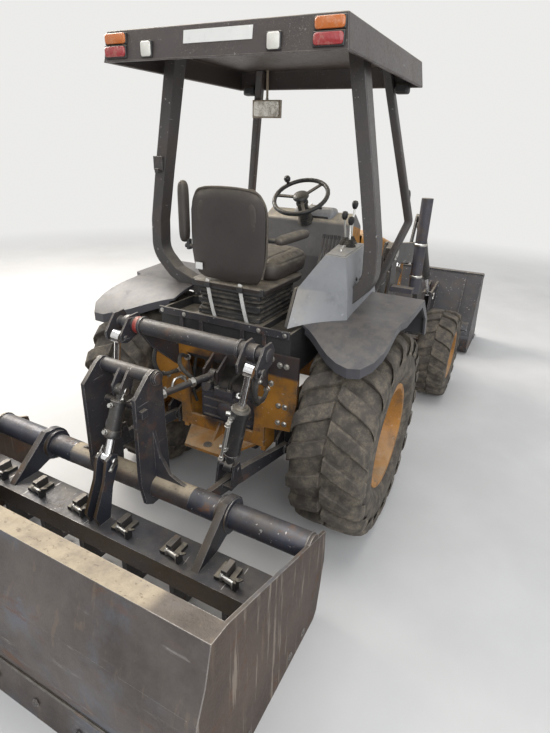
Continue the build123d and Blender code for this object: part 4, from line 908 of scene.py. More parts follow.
def make_hood():
    """Hood, grille slats, side screens, lamps and stack."""
    dressed("hood", "hood", 0.004)
    dressed("nose_grille", "black", 0.002)
    dressed("side_screens", "screen", 0.001)
    dressed("exhaust_stack", "cast", 0.003)
    slat = Shape()
    slat.rings([[(2399.5, y, 996), (2394, y, 1003), (2386, y, 1003), (2386, y, 996)] for y in (-268, 268)])
    repeated("grille_slats", slat.mesh("slat"), trees["row"], "black", "tractor", Count=18,
             Step=(0, 0, 0.0129))
    frame_bar = Shape()
    for y in (-268, -92, 84, 260):
        frame_bar.block((2384, 2399), (y, y + 8), (992, 1228))
    frame_bar.piece("grille_uprights", "black", "tractor", 0.001)
    for side in (-1, 1):
        lamp = Shape()
        lamp.rings(layered(side * 205, 1180, 108, 62, 14, ((2386, 1.0), (2397, 1.0), (2399.8, 0.93))))
        lamp.piece("head_lamp_" + ("left" if side > 0 else "right"), "clear", "tractor", slot="lamp")
    trim = Shape()
    for side in (-1, 1):
        y = side * 351
        trim.strip([(1690, y, 1004), (2296, y, 1004), (2296, y, 1264), (1690, y, 1408), (1690, y, 1004)],
                   (0, 1, 0), 5, 10)
    trim.piece("screen_frames", "hood", "tractor", 0.001, angle=20)
    places = []
    for side in (-1, 1):
        for x, z in ((1000, 980), (1000, 1280), (1000, 1560), (1400, 980), (1620, 980), (1640, 1380),
                     (2340, 980)):
            places.append(((x, side * 350, z), (0, side, 0)))
    bolts("hood_bolts", places, "zinc", "tractor", 8, 6)
    latch = Shape()
    for side in (-1, 1):
        latch.block((1400, 1450), (side * 350, side * 358), (1120, 1150))
        latch.tube(smooth([(1405, side * 356, 1135), (1405, side * 372, 1138), (1445, side * 372, 1138),
                           (1445, side * 356, 1135)]), 4)
    latch.piece("hood_latches", "black", "tractor", 0.001)
    cap = Shape()
    cap.lathe([(0, 0), (46, 0), (48, 8), (48, 28), (40, 34), (0, 34)], (1600, 130, 1550), (0.22, 0, 1), 24)
    cap.piece("radiator_cap", "black", "tractor", 0.002)
    rain = Shape()
    for z in (1560, 1320):
        rain.lathe([(42.5, 0), (48, 6), (48, 14), (42.5, 20)], (*STACK, z), (0, 0, 1), 28)
    rain.lathe([(31, 0), (41.5, 0), (41.5, 1), (31, 1)], (*STACK, 1898.5), (0, 0, 1), 28)
    rain.piece("stack_clamps", "zinc", "tractor")


def clip_pins(name, places, body, finish="zinc"):
    """Cross pins with a head plate and a keeper bolt; each place is a point, a direction and a radius."""
    shape = Shape()
    keepers = []
    for point, way, radius in places:
        start = Vector(point)
        along = Vector(way).normalized()
        shape.lathe([(0, 0), (radius, 0), (radius, 5), (radius - 3, 8), (0, 8)], start, along, 20)
        side = along.orthogonal().normalized()
        if abs(side.z) > 0.9:
            side = along.cross(side)
        flange = [start + along * 2.5, start + along * 2.5 + side * (radius + 34)]
        shape.strip(flange, along.cross(side), 24, 5)
        keepers.append((start + along * 5 + side * (radius + 22), along))
    shape.piece(name, finish, body, 0.001)
    bolts(name + "_keepers", keepers, "zinc", body, 7, 6)


def ram(name, foot, eye, radius, rod, neck, mouth, body, ports, side):
    """Cylinder fittings: gland nut, weld ring, ports with their fittings, and the wiper at the mouth."""
    a = Vector(foot)
    b = Vector(eye)
    way = (b - a).normalized()
    length = (b - a).length
    gland = Shape()
    end = a + way * (length * mouth)
    gland.lathe([(rod + 1.2, -2), (radius + 4, -2), (radius + 6, 2), (radius + 6, 30), (radius + 2, 34),
                 (radius - 6, 37), (rod + 1.2, 37)], end - way * 36, way, 28)
    gland.lathe([(radius + 0.5, 0), (radius + 3, 2), (radius + 3, 9), (radius + 0.5, 11)],
                a + way * (neck + 4), way, 28)
    gland.piece(name + "_gland", "barrel", body, 0.001)
    fittings = Shape()
    out = Vector(side).normalized()
    out = (out - way * out.dot(way)).normalized()
    for share in ports:
        base = a + way * (length * share)
        fittings.bar(base + out * (radius - 4), base + out * (radius + 12), 13, 12)
        fittings.hexagon(base + out * (radius + 10), out, 12, 16, 1.15)
    fittings.piece(name + "_ports", "zinc", body, 0.001)
    wiper = Shape()
    wiper.lathe([(rod + 0.6, 0), (radius - 8, 0), (radius - 12, 6), (rod + 0.6, 6)], end + way * 1, way, 24)
    wiper.piece(name + "_wiper", "black", body)


def make_loader():
    """Tower, arms, bucket and the four loader cylinders."""
    dressed("loader_tower", "arm", 0.003)
    dressed("loader_arms", "arm", 0.004)
    dressed("bucket", "bucket", 0.002)
    for node in ("lift_barrels", "dump_barrels"):
        dressed(node, "barrel", 0.002)
    for node in ("lift_rods", "dump_rods"):
        dressed(node, "chrome", 0.002)
    for side, hand in ((1, "left"), (-1, "right")):
        ram("lift_" + hand, (1300, side * 430, 600), (1870, side * 430, 1340), 45, 25, 80, 0.87,
            "lift_barrels", (0.14, 0.82), (0, -side, 0))
        ram("dump_" + hand, (2060, side * 520, 1660), (3100, side * 520, 715), 42, 22, 80, 0.72,
            "dump_barrels", (0.10, 0.66), (0.4, 0, 1))
    places = [((1150, side * BOOM_PIN_Y, 1500), (0, side, 0), 34) for side in (1, -1)]
    clip_pins("tower_pins", places, "tractor")
    places = []
    for side in (1, -1):
        places.append(((2950, side * BOOM_PIN_Y, 300), (0, side, 0), 34))
        places.append(((3100, side * 583, 715), (0, side, 0), 26))
    clip_pins("bucket_pins", places, "bucket")
    places = [((2060, side * 559, 1660), (0, side, 0), 22) for side in (1, -1)]
    clip_pins("arm_pins", places, "loader_arms")
    teeth = Shape()
    teeth.block((3930, 4010), (-1030, 1030), (20, 30))
    teeth.piece("bucket_wear_strip", "shank", "bucket", 0.002)
    places = [((3970, -968 + k * 176, 30), (0, 0, 1)) for k in range(12)]
    bolts("edge_bolts", places, "shank", "bucket", 13, 7)
    ribs = Shape()
    for y in (-860, -300, 0, 300, 860):
        ribs.plate(((3190, 150), (3236, 330), (3468, 905), (3452, 905), (3210, 330), (3172, 172)),
                   (y - 5, y + 5))
    for side in (1, -1):
        ribs.block((3480, 3590), (side * 1037, side * 1043), (880, 918))
    ribs.piece("bucket_ribs", "bucket", "bucket", 0.002)
    lines = Shape()
    for side in (1, -1):
        inner = side * 489
        for k in range(2):
            drop = k * 22
            lines.tube(smooth([(1180, inner, 1490 - drop), (1420, inner, 1450 - drop),
                               (2000, inner, 1350 - drop), (2110, inner, 1300 - drop),
                               (2190, inner, 1190 - drop)], 6), 7)
    lines.piece("arm_lines", "hitch", "loader_arms", slot="arm_paint")
    hoses = Shape()
    for side in (1, -1):
        for k in range(2):
            y = side * (488 - 20 * k)
            hoses.tube(smooth([(1186, y, 1485), (1130, y - side * 12, 1430 - 20 * k),
                               (1110, y - side * 20, 1300), (1120, y - side * 24, 1120),
                               (1080, y - side * 60, 1010)], 7), 11)
    hoses.piece("tower_hoses", "hose", "tractor")
    clips = Shape()
    for side in (1, -1):
        for x, z in ((1420, 1441), (1720, 1390), (1990, 1345)):
            clips.block((x - 16, x + 16), (side * 483, side * 496), (z - 32, z + 14))
    clips.piece("line_clips", "zinc", "loader_arms", 0.001)
    level = Shape()
    level.bar((2640, -60, 640), (2640, 60, 640), 61, 28)
    level.block((2615, 2665), (-380, -360), (600, 690))
    level.block((2615, 2665), (360, 380), (600, 690))
    level.piece("cross_tube_bands", "arm", "loader_arms", 0.002)


def make_hitch():
    """Rear cross tube, lift cylinders, links, hoses and steel lines."""
    for node in ("hitch_frame", "hitch_clevises"):
        dressed(node, "hitch", 0.003)
    dressed("lower_links", "hitch", 0.004)
    dressed("top_link", "hitch", 0.002)
    for side, sign in (("left", 1), ("right", -1)):
        dressed("hitch_barrel_" + side, "barrel", 0.002)
        dressed("hitch_rod_" + side, "chrome", 0.002)
        foot = (-740, sign * 405 + (-740 + 320) * LINK_SWAY, 630)
        eye = (-770, sign * 414, 1245)
        ram("hitch_" + side, foot, eye, 45, 17.5, 90, 0.63, "hitch_barrel_" + side, (0.20, 0.56),
            (-0.55, -sign, 0))
    rings = Shape()
    for y in (292, -322):
        rings.lathe([(45, 0), (52, 0), (52, 14), (45, 14)], (HITCH_TUBE[0], y, HITCH_TUBE[1]), (0, 1, 0), 28)
    rings.piece("tube_collars", "hitch", "tractor", 0.002)
    red = Shape()
    red.lathe([(44.4, 0), (47, 2), (47, 24), (44.4, 26)], (HITCH_TUBE[0], 314, HITCH_TUBE[1]), (0, 1, 0), 28)
    red.piece("tube_red_ring", "ring", "tractor")
    caps = Shape()
    for sign in (1, -1):
        caps.lathe([(0, 0), (36, 0), (36, 6), (30, 9), (0, 9)], (HITCH_TUBE[0], sign * 472, HITCH_TUBE[1]),
                   (0, sign, 0), 24)
    caps.piece("tube_end_caps", "hitch", "tractor", 0.001)
    places = [((-770, sign * 486, 1245), (0, sign, 0), 20) for sign in (1, -1)]
    clip_pins("hitch_pins", places, "tractor", "shank")
    right_foot = Vector((-740, -405 + (-420) * LINK_SWAY, 630))
    right_eye = Vector((-770, -414, 1245))
    way = (right_eye - right_foot).normalized()
    lines = Shape()
    for offset, low, high in ((-66, 0.24, 0.60), (-84, 0.15, 0.56)):
        base = right_foot + Vector((offset, 14, 0))
        lines.tube([base + way * HITCH_RAM_LENGTH * low, base + way * HITCH_RAM_LENGTH * high], 8)
    for share in (0.24, 0.58):
        spot = right_foot + way * HITCH_RAM_LENGTH * share
        lines.tube([spot + Vector((-30, 8, 0)), spot + Vector((-66, 14, 0))], 9)
    lines.piece("right_ram_lines", "zinc", "hitch_barrel_right")
    joints = Shape()
    for share, offset in ((0.26, -66), (0.58, -66), (0.18, -84), (0.54, -84)):
        spot = right_foot + way * HITCH_RAM_LENGTH * share + Vector((offset, 14, 0))
        joints.hexagon(spot - way * 10, way, 13, 22, 1.1)
    joints.piece("right_ram_fittings", "zinc", "hitch_barrel_right", 0.001)
    left_foot = Vector((-740, 405 + (-420) * LINK_SWAY, 630))
    left_way = (Vector((-770, 414, 1245)) - left_foot).normalized()
    left = Shape()
    for offset, low, high in ((-62, 0.20, 0.60), (-78, 0.16, 0.40)):
        base = left_foot + Vector((offset, -20, 0))
        left.tube([base + left_way * HITCH_RAM_LENGTH * low, base + left_way * HITCH_RAM_LENGTH * high], 8)
    left.piece("left_ram_lines", "hose", "hitch_barrel_left")
    hoses = Shape()
    hoses.tube(smooth([(-400, -300, 1120), (-470, -330, 1150), (-560, -350, 1120), (-600, -352, 1040),
                       (-560, -345, 960), (-470, -330, 930), (-402, -318, 960)], 7), 12)
    hoses.tube(smooth([(-400, -270, 1090), (-450, -280, 1120), (-520, -300, 1070), (-540, -310, 980),
                       (-500, -300, 900), (-402, -285, 880)], 7), 12)
    hoses.tube(smooth([(-400, 300, 1120), (-470, 320, 1160), (-560, 330, 1130), (-590, 330, 1040),
                       (-540, 320, 950), (-402, 300, 930)], 7), 12)
    hoses.tube(smooth([(-402, 230, 1030), (-500, 210, 1080), (-560, 160, 1040), (-520, 90, 960),
                       (-402, 70, 920)], 7), 12)
    hoses.piece("rear_frame_hoses", "hose", "tractor")
    sleeves = Shape()
    for y, z in ((-300, 1120), (-318, 960), (-270, 1090), (-285, 880), (300, 1120), (300, 930), (230, 1030),
                 (70, 920)):
        sleeves.hexagon((-398, y, z), (-1, 0, 0), 16, 26, 1.1)
    sleeves.piece("rear_hose_sleeves", "zinc", "tractor", 0.001)
    places = [((-402, sign * 340, z), (-1, 0, 0)) for sign in (1, -1) for z in (1000, 1150)]
    bolts("bracket_bolts", places, "zinc", "tractor", 13, 11)
    top = Shape()
    a = Vector((-470, 0, 1000))
    b = Vector((-905, 144, 980))
    along = (b - a).normalized()
    for share in (0.30, 0.72):
        top.hexagon(a + along * (b - a).length * share, along, 27, 26, 1.0)
    top.tube(smooth([a + along * 190 + Vector((0, 0, 20)), a + along * 210 + Vector((0, 0, 56)),
                     a + along * 260 + Vector((0, 0, 58)), a + along * 280 + Vector((0, 0, 20))], 6), 6)
    top.piece("top_link_turnbuckle", "zinc", "top_link", 0.001)


def make_scraper():
    """Box, cross pipe, mast, ripper beam and shanks, with welds, pins and clips."""
    dressed("box_shell", "scraper", 0.0025)
    dressed("box_mast", "hitch", 0.003)
    dressed("ripper_bar", "beam", 0.003)
    dressed("ripper_shanks", "shank", 0.003)
    dressed("ripper_barrel", "barrel", 0.002)
    dressed("ripper_rod", "chrome", 0.002)
    ram("ripper", RIPPER_TOP, RIPPER_EYE, 38, 20, 50, 0.68, "ripper_barrel", (0.22, 0.60), (-1, 0, 0))
    sleeve = Shape()
    for low, high in ((-870, -466), (-400, -230), (590, 756), (824, 1230)):
        sleeve.lathe([(64, 0), (64.8, 0), (64.8, high - low), (64, high - low)],
                     (BOX_PIPE[0], low, BOX_PIPE[1]), (0, 1, 0), 40)
    sleeve.piece("pipe_surface", "pipe", "box_scraper")
    bead = Shape()
    for y in (-868, 1228):
        bead.lathe([(62, -6), (70, -3), (70, 3), (62, 6)], (BOX_PIPE[0], y, BOX_PIPE[1]), (0, 1, 0), 40)
    bead.tube([(-1866, -884, 598), (-1866, 1244, 598)], 4.5, 8)
    bead.tube([(-1864, -884, 168), (-1864, 1244, 168)], 6, 8)
    bead.tube([(-1838, -884, 178), (-1838, 1244, 178)], 6, 8)
    bead.piece("scraper_welds", "shank", "box_scraper")
    places = [((-1886.5, -800 + k * 245, 85), (-1, 0, 0.19)) for k in range(9)]
    bolts("edge_bolts_rear", places, "shank", "box_scraper", 12, 7)
    places = [((x, -887, 60), (0, -1, 0)) for x in (-1700, -1560, -1180, -1040)]
    bolts("skid_bolts", places, "shank", "box_scraper", 14, 6)
    first = BOX_MIDDLE - SHANK_PITCH * (SHANK_COUNT - 1) / 2
    heads = Shape()
    clips = Shape()
    collars = Shape()
    for k in range(SHANK_COUNT):
        y = first + k * SHANK_PITCH
        heads.bar((-1270, y - 58, 478), (-1270, y - 58, 452), 15, 14)
        heads.bar((-1272, y - 56, 474), (-1262, y + 4, 474), 12.5, 14)
        heads.hexagon((-1262, y + 2, 474), (0.16, 1, 0), 17, 14, 1.2)
        clips.block((-1288, -1256), (y - 76, y - 60), (452, 500))
        clips.tube(smooth([(-1270, y - 66, 498), (-1282, y - 84, 512), (-1262, y - 96, 506),
                           (-1254, y - 78, 494)], 5), 5)
        clips.block((-1274, -1176), (y - 46, y - 20), (450.2, 470))
        clips.block((-1274, -1176), (y + 20, y + 46), (450.2, 470))
        collars.rings([[(x, y + off, z) for x, off in ((-1268, -18), (-1182, -18), (-1182, 18), (-1268, 18))]
                       for z in (335.2, 322)])
    heads.piece("shank_pins", "zinc", "ripper", 0.001)
    clips.piece("shank_clips", "black", "ripper", 0.001)
    collars.piece("shank_guides", "beam", "ripper", 0.001)
    places = [((RIPPER_EYE[0], BOX_MIDDLE + sign * 50, RIPPER_EYE[2]), (0, sign, 0), 20) for sign in (1, -1)]
    clip_pins("ripper_eye_pins", places, "ripper")
    places = [((RIPPER_TOP[0], BOX_MIDDLE + sign * 34, RIPPER_TOP[2]), (0, sign, 0), 19) for sign in (1, -1)]
    clip_pins("ripper_top_pins", places, "box_scraper")
    hub = Shape()
    for y, sign in ((BOX_MIDDLE - 640, -1), (BOX_MIDDLE + 640, 1)):
        hub.lathe([(66, 0), (90, 0), (88, 5), (70, 6), (66, 6)], (BOX_PIPE[0], y, BOX_PIPE[1]), (0, sign, 0),
                  32)
    hub.piece("hanger_rings", "beam", "ripper")
    ends = Shape()
    for y, sign in ((BOX_MIDDLE - 189, -1), (BOX_MIDDLE + 189, 1)):
        ends.lathe([(0, 0), (30, 0), (30, 5), (24, 7), (0, 7)], (-950, y, 1170), (0, sign, 0), 24)
    ends.piece("mast_tube_caps", "hitch", "box_scraper", 0.001)
    hooks = Shape()
    for y in (BOX_MIDDLE - 197, BOX_MIDDLE + 175):
        hooks.block((-1085, -1045), (y, y + 22), (1010, 1050))
    hooks.piece("mast_stops", "hitch", "box_scraper", 0.002)
    lines = Shape()
    lines.tube(smooth([(-1052, 180, 1004), (-1068, 186, 985), (-1074, 212, 955), (-1083, 224, 920),
                       (-1090, 221, 896)], 6), 7)
    lines.piece("ripper_line", "zinc", "ripper_barrel")


def make_platform():
    """Floor, deck, fenders, console, cowl, wheel and handle."""
    dressed("platform", "black", 0.003)
    dressed("fender_left", "fender", 0.006, angle=28)
    dressed("fender_right", "fender", 0.006, angle=28)
    dressed("side_console", "console", 0.008)
    dressed("cowl", "cowl", 0.010)
    dressed("grab_handle", "black", 0.0)
    dressed("steering_wheel", "grip", 0.002)
    deck = Shape()
    for k in range(9):
        y = -160 + k * 40
        deck.block((300, 620), (y - 4, y + 4), (1050, 1053))
    deck.piece("floor_ribs", "black", "tractor", 0.001)
    treads = Shape()
    for side in (1, -1):
        for level in (810, 550):
            for k in range(6):
                x = 812 + k * 24
                low, high = (500, 790) if level == 810 else (572, 790)
                treads.block((x - 3, x + 3), (min(side * low, side * high), max(side * low, side * high)),
                             (level, level + 4))
    treads.piece("step_treads", "shank", "tractor", 0.001)
    rail = Shape()
    rail.strip([(-392, -436, 1296), (-392, 436, 1296)], (0, 0, 1), 42, 16)
    rail.strip([(-398, -436, 1318), (-384, -436, 1318)], (0, 1, 0), 4, 4)
    rail.piece("deck_cross_bar", "hitch", "tractor", 0.003)
    places = [((-400, y, 1296), (-1, 0, 0)) for y in (-410, -250, 250, 410)]
    bolts("cross_bar_bolts", places, "zinc", "tractor", 9, 8)
    under = Shape()
    under.block((-384, -372), (-300, 300), (1060, 1110))
    for y in (-280, -140, 140, 280):
        under.block((-392, -380), (y - 12, y + 12), (1062, 1270))
    under.piece("deck_rear_ribs", "hitch", "tractor", 0.003)


def make_console():
    """Details of the right console: fold, plugs, latch, levers, gaiters and the bent rods."""
    plugs = Shape()
    for x, z in ((30, 1545), (96, 1530)):
        y = -639 + (z - 1500) * 0.192
        plugs.lathe([(0, 0), (11, 0), (11, 3), (8, 5), (0, 5)], (x, y - 2, z), (0.02, -1, 0.22), 16)
    plugs.piece("console_plugs", "black", "tractor")
    latch = Shape()
    latch.tube(smooth([(-60, -560, 1688), (-60, -560, 1712), (-30, -556, 1722), (10, -550, 1722),
                       (36, -546, 1712), (36, -546, 1688)], 5), 5)
    latch.piece("console_latch", "zinc", "tractor")
    panel = Shape()
    panel.rings([[(-300, -352, 1300), (-300, -372, 1300), (-190, -368, 1500), (-190, -350, 1500)],
                 [(60, -372, 1300), (60, -390, 1300), (40, -386, 1500), (40, -372, 1500)]])
    panel.piece("console_side_panel", "black", "tractor", 0.004)
    deck_plate = Shape()
    deck_plate.rings([[(-110, -508, 1691), (286, -442, 1691), (300, -568, 1691), (-128, -606, 1691)],
                      [(-104, -514, 1697), (280, -448, 1697), (294, -562, 1697), (-122, -600, 1697)]])
    deck_plate.piece("console_top_panel", "console", "tractor", 0.002)
    gaiters = Shape()
    levers = Shape()
    knobs = Shape()
    for k, (x, y, lean, tall) in enumerate(((250, -505, 40, 170), (190, -490, -18, 120),
                                            (140, -535, 20, 95))):
        for fold in range(4):
            r = 34 - fold * 6
            gaiters.lathe([(0, 0), (r, 0), (r + 3, 5), (r - 2, 11), (0, 11)], (x, y, 1697 + fold * 10),
                          (0, 0, 1), 20)
        levers.tube(smooth([(x, y, 1720), (x + lean * 0.3, y + 4, 1720 + tall * 0.5),
                            (x + lean, y + 10, 1720 + tall)], 6), 6)
        knobs.lathe([(0, 0), (10, 2), (17, 16), (19, 32), (14, 46), (0, 50)],
                    (x + lean, y + 10, 1716 + tall), (0.1, 0, 1), 18)
    gaiters.piece("lever_gaiters", "bellows", "tractor", 0.001)
    levers.piece("console_levers", "zinc", "tractor")
    knobs.piece("console_knobs", "grip", "tractor", angle=60)
    base = Shape()
    base.block((292, 368), (-378, -242), (1052, 1342))
    base.block((284, 376), (-386, -234), (1342, 1350))
    base.piece("rod_stand", "black", "tractor", 0.003)
    rods = Shape()
    tips = Shape()
    for k in range(5):
        y = -260 - k * 26
        shape = smooth([(330, y, 1344), (330, y, 1420), (352, y, 1500), (392, y, 1580), (420, y, 1650),
                        (430, y, 1700)], 7)
        rods.strip(shape, (0, 1, 0), 15, 5)
        rods.bar((330, y - 8, 1400), (330, y + 8, 1400), 11, 14)
        tips.strip([(424, y, 1676), (431, y, 1703)], (0, 1, 0), 20, 12)
    rods.piece("bent_rods", "arm", "tractor", 0.001)
    tips.piece("bent_rod_tips", "grip", "tractor", 0.003)
    frame["nodes"]["control_levers"].data.materials.clear()
    frame["nodes"]["control_levers"].data.materials.append(finishes["arm"])


def make_cowl_parts():
    """Instrument hood, gauges, column cover, wheel hub cap, knob and rim ribs, pedals."""
    hood_pod = Shape()
    rings = []
    for x, half, low, high in ((730, 130, 1745, 1770), (744, 150, 1742, 1812), (784, 158, 1752, 1828),
                               (832, 150, 1760, 1822), (868, 128, 1762, 1796)):
        outline = rounded(half * 2, high - low, (high - low) * 0.42, 4)
        rings.append([(x, -40 + a, (low + high) / 2 + b) for a, b in outline])
    hood_pod.rings(rings)
    hood_pod.piece("instrument_hood", "console", "tractor", 0.0, angle=50)
    face = Shape()
    face.rings([[(728, -40 + a, 1758 + b) for a, b in rounded(236, 20, 8, 3)],
                [(732, -40 + a, 1758 + b) for a, b in rounded(240, 24, 9, 3)]])
    for y in (-120, -40, 40):
        face.lathe([(0, 0), (9, 0), (9, 3), (0, 3)], (730, y, 1761), (-1, 0, 0), 20)
    face.piece("instrument_face", "black", "tractor")
    boot = Shape()
    centre = WHEEL_CENTRE
    way = Vector((-math.sin(WHEEL_TILT), 0, math.cos(WHEEL_TILT)))
    base = centre - way * 205
    profile = [(0, 0)]
    for k in range(6):
        profile += [(56 - k * 2.4, k * 15.0), (49 - k * 2.4, k * 15.0 + 8)]
    profile.append((0, 6 * 15.0))
    boot.lathe(profile, base, way, 28)
    boot.lathe([(0, 0), (36, 0), (36, 58), (42, 64), (42, 76), (0, 76)], base + way * 86, way, 28)
    boot.piece("column_boot", "bellows", "tractor", angle=50)
    stalk = Shape()
    side = Vector((0, -1, 0))
    stalk.tube(smooth([base + way * 112, base + way * 114 + side * 60, base + way * 124 + side * 120], 5), 5)
    stalk.lathe([(0, 0), (9, 2), (10, 14), (7, 26), (0, 28)], base + way * 124 + side * 116, (0, -1, 0), 14)
    stalk.piece("column_stalk", "black", "tractor", angle=60)
    plane_x = way.cross(Vector((0, 1, 0))).normalized()
    cap = Shape()
    cap.lathe([(0, 0), (52, 0), (56, 6), (50, 20), (30, 27), (0, 29)], centre - way * 8, way, 30)
    cap.piece("wheel_hub_cap", "grip", "tractor", 0.002, angle=50)
    knob = Shape()
    out = (plane_x * -math.cos(0.9) + Vector((0, 1, 0)) * math.sin(0.9)) * 184
    knob.lathe([(0, 0), (12, 0), (10, 14), (20, 24), (24, 40), (18, 54), (0, 60)], centre + out + way * 10,
               way, 18)
    knob.piece("wheel_knob", "grip", "tractor", angle=60)
    grip = Shape()
    for k in range(30):
        turn = 2 * math.pi * k / 30 + 0.05
        for part in (-0.035, 0.035):
            spoke = plane_x * math.cos(turn + part) + Vector((0, 1, 0)) * math.sin(turn + part)
            middle = centre + spoke * 185
            grip.lathe([(13.2, 0), (15.2, 1.5), (15.2, 4.5), (13.2, 6)], middle,
                       way.cross(middle - centre), 12)
    grip.piece("wheel_grip_ribs", "grip", "tractor", angle=60)
    pedals = Shape()
    for y in (-230, -120, 150):
        pedals.strip([(640, y, 1130), (560, y, 1190)], (0, 1, 0), 74, 10)
        pedals.tube([(612, y, 1150), (668, y, 1240)], 9)
    pedals.piece("pedals", "black", "tractor", 0.002)
    vent = Shape()
    for k in range(6):
        z = 1480 - k * 26
        vent.block((668, 676), (120, 260), (z - 5, z + 5))
    vent.piece("cowl_louvres", "black", "tractor", 0.001)
    side_panel = Shape()
    side_panel.plate(((700, 1540), (780, 1720), (930, 1680), (950, 1480), (840, 1440)), (-331, -336))
    side_panel.piece("cowl_side_panel", "yellow", "tractor", 0.002)


def swollen(obj, pressure, cap):
    """Blows a closed pad up a little by cloth simulation, and holds every point within a cap."""
    frames = 20
    start = [vertex.co.copy() for vertex in obj.data.vertices]
    cloth = obj.modifiers.new("stuffing", "CLOTH")
    cloth.settings.use_pressure = True
    cloth.settings.uniform_pressure_force = pressure
    cloth.settings.effector_weights.gravity = 0.0
    cloth.settings.quality = 5
    cloth.settings.tension_stiffness = 25
    cloth.settings.compression_stiffness = 25
    cloth.settings.bending_stiffness = 3
    cloth.point_cache.frame_start = 1
    cloth.point_cache.frame_end = frames
    scene = bpy.context.scene
    for number in range(1, frames + 1):
        scene.frame_set(number)
    depsgraph = bpy.context.evaluated_depsgraph_get()
    shape = bpy.data.meshes.new_from_object(obj.evaluated_get(depsgraph))
    for vertex, first in zip(shape.vertices, start):
        move = vertex.co - first
        if move.length > cap:
            vertex.co = first + move * (cap / move.length)
    obj.modifiers.remove(cloth)
    obj.data = shape
    scene.frame_set(1)


def pad(name, rings, finish, body, seams=(), pressure=4.0, cap=0.010, voxel=0.006):
    """A padded form: a soft outline, remeshed, swollen, then pressed in along its seams."""
    shape = Shape()
    shape.rings(rings)
    data = shape.mesh(name)
    obj = bpy.data.objects.new(name, data)
    bpy.context.scene.collection.objects.link(obj)
    bpy.context.view_layer.objects.active = obj
    smoothing = obj.modifiers.new("soft", "SUBSURF")
    smoothing.levels = smoothing.render_levels = 2
    voxels = obj.modifiers.new("even skin", "REMESH")
    voxels.mode = "VOXEL"
    voxels.voxel_size = voxel
    bpy.context.view_layer.update()
    skin = bpy.data.meshes.new_from_object(obj.evaluated_get(bpy.context.evaluated_depsgraph_get()))
    obj.modifiers.clear()
    obj.data = skin
    swollen(obj, pressure, cap)
    for vertex in obj.data.vertices:
        place = (vertex.co - AXLE) * 1000
        for seam in seams:
            depth = seam(place)
            if depth > 0:
                vertex.co -= vertex.normal * depth / 1000
    last = obj.modifiers.new("soft", "SUBSURF")
    last.levels = last.render_levels = 1
    obj.data.materials.clear()
    obj.data.materials.append(finishes[finish])
    for polygon in obj.data.polygons:
        polygon.use_smooth = True
    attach(obj, body)
    return obj


def groove(axis, where, width, depth, low, high, along):
    """A sewn line at a fixed value of one axis, between two values of another."""
    def pressed(place):
        if not low <= place[along] <= high:
            return 0.0
        off = (place[axis] - where) / width
        return depth * math.exp(-off * off)
    return pressed


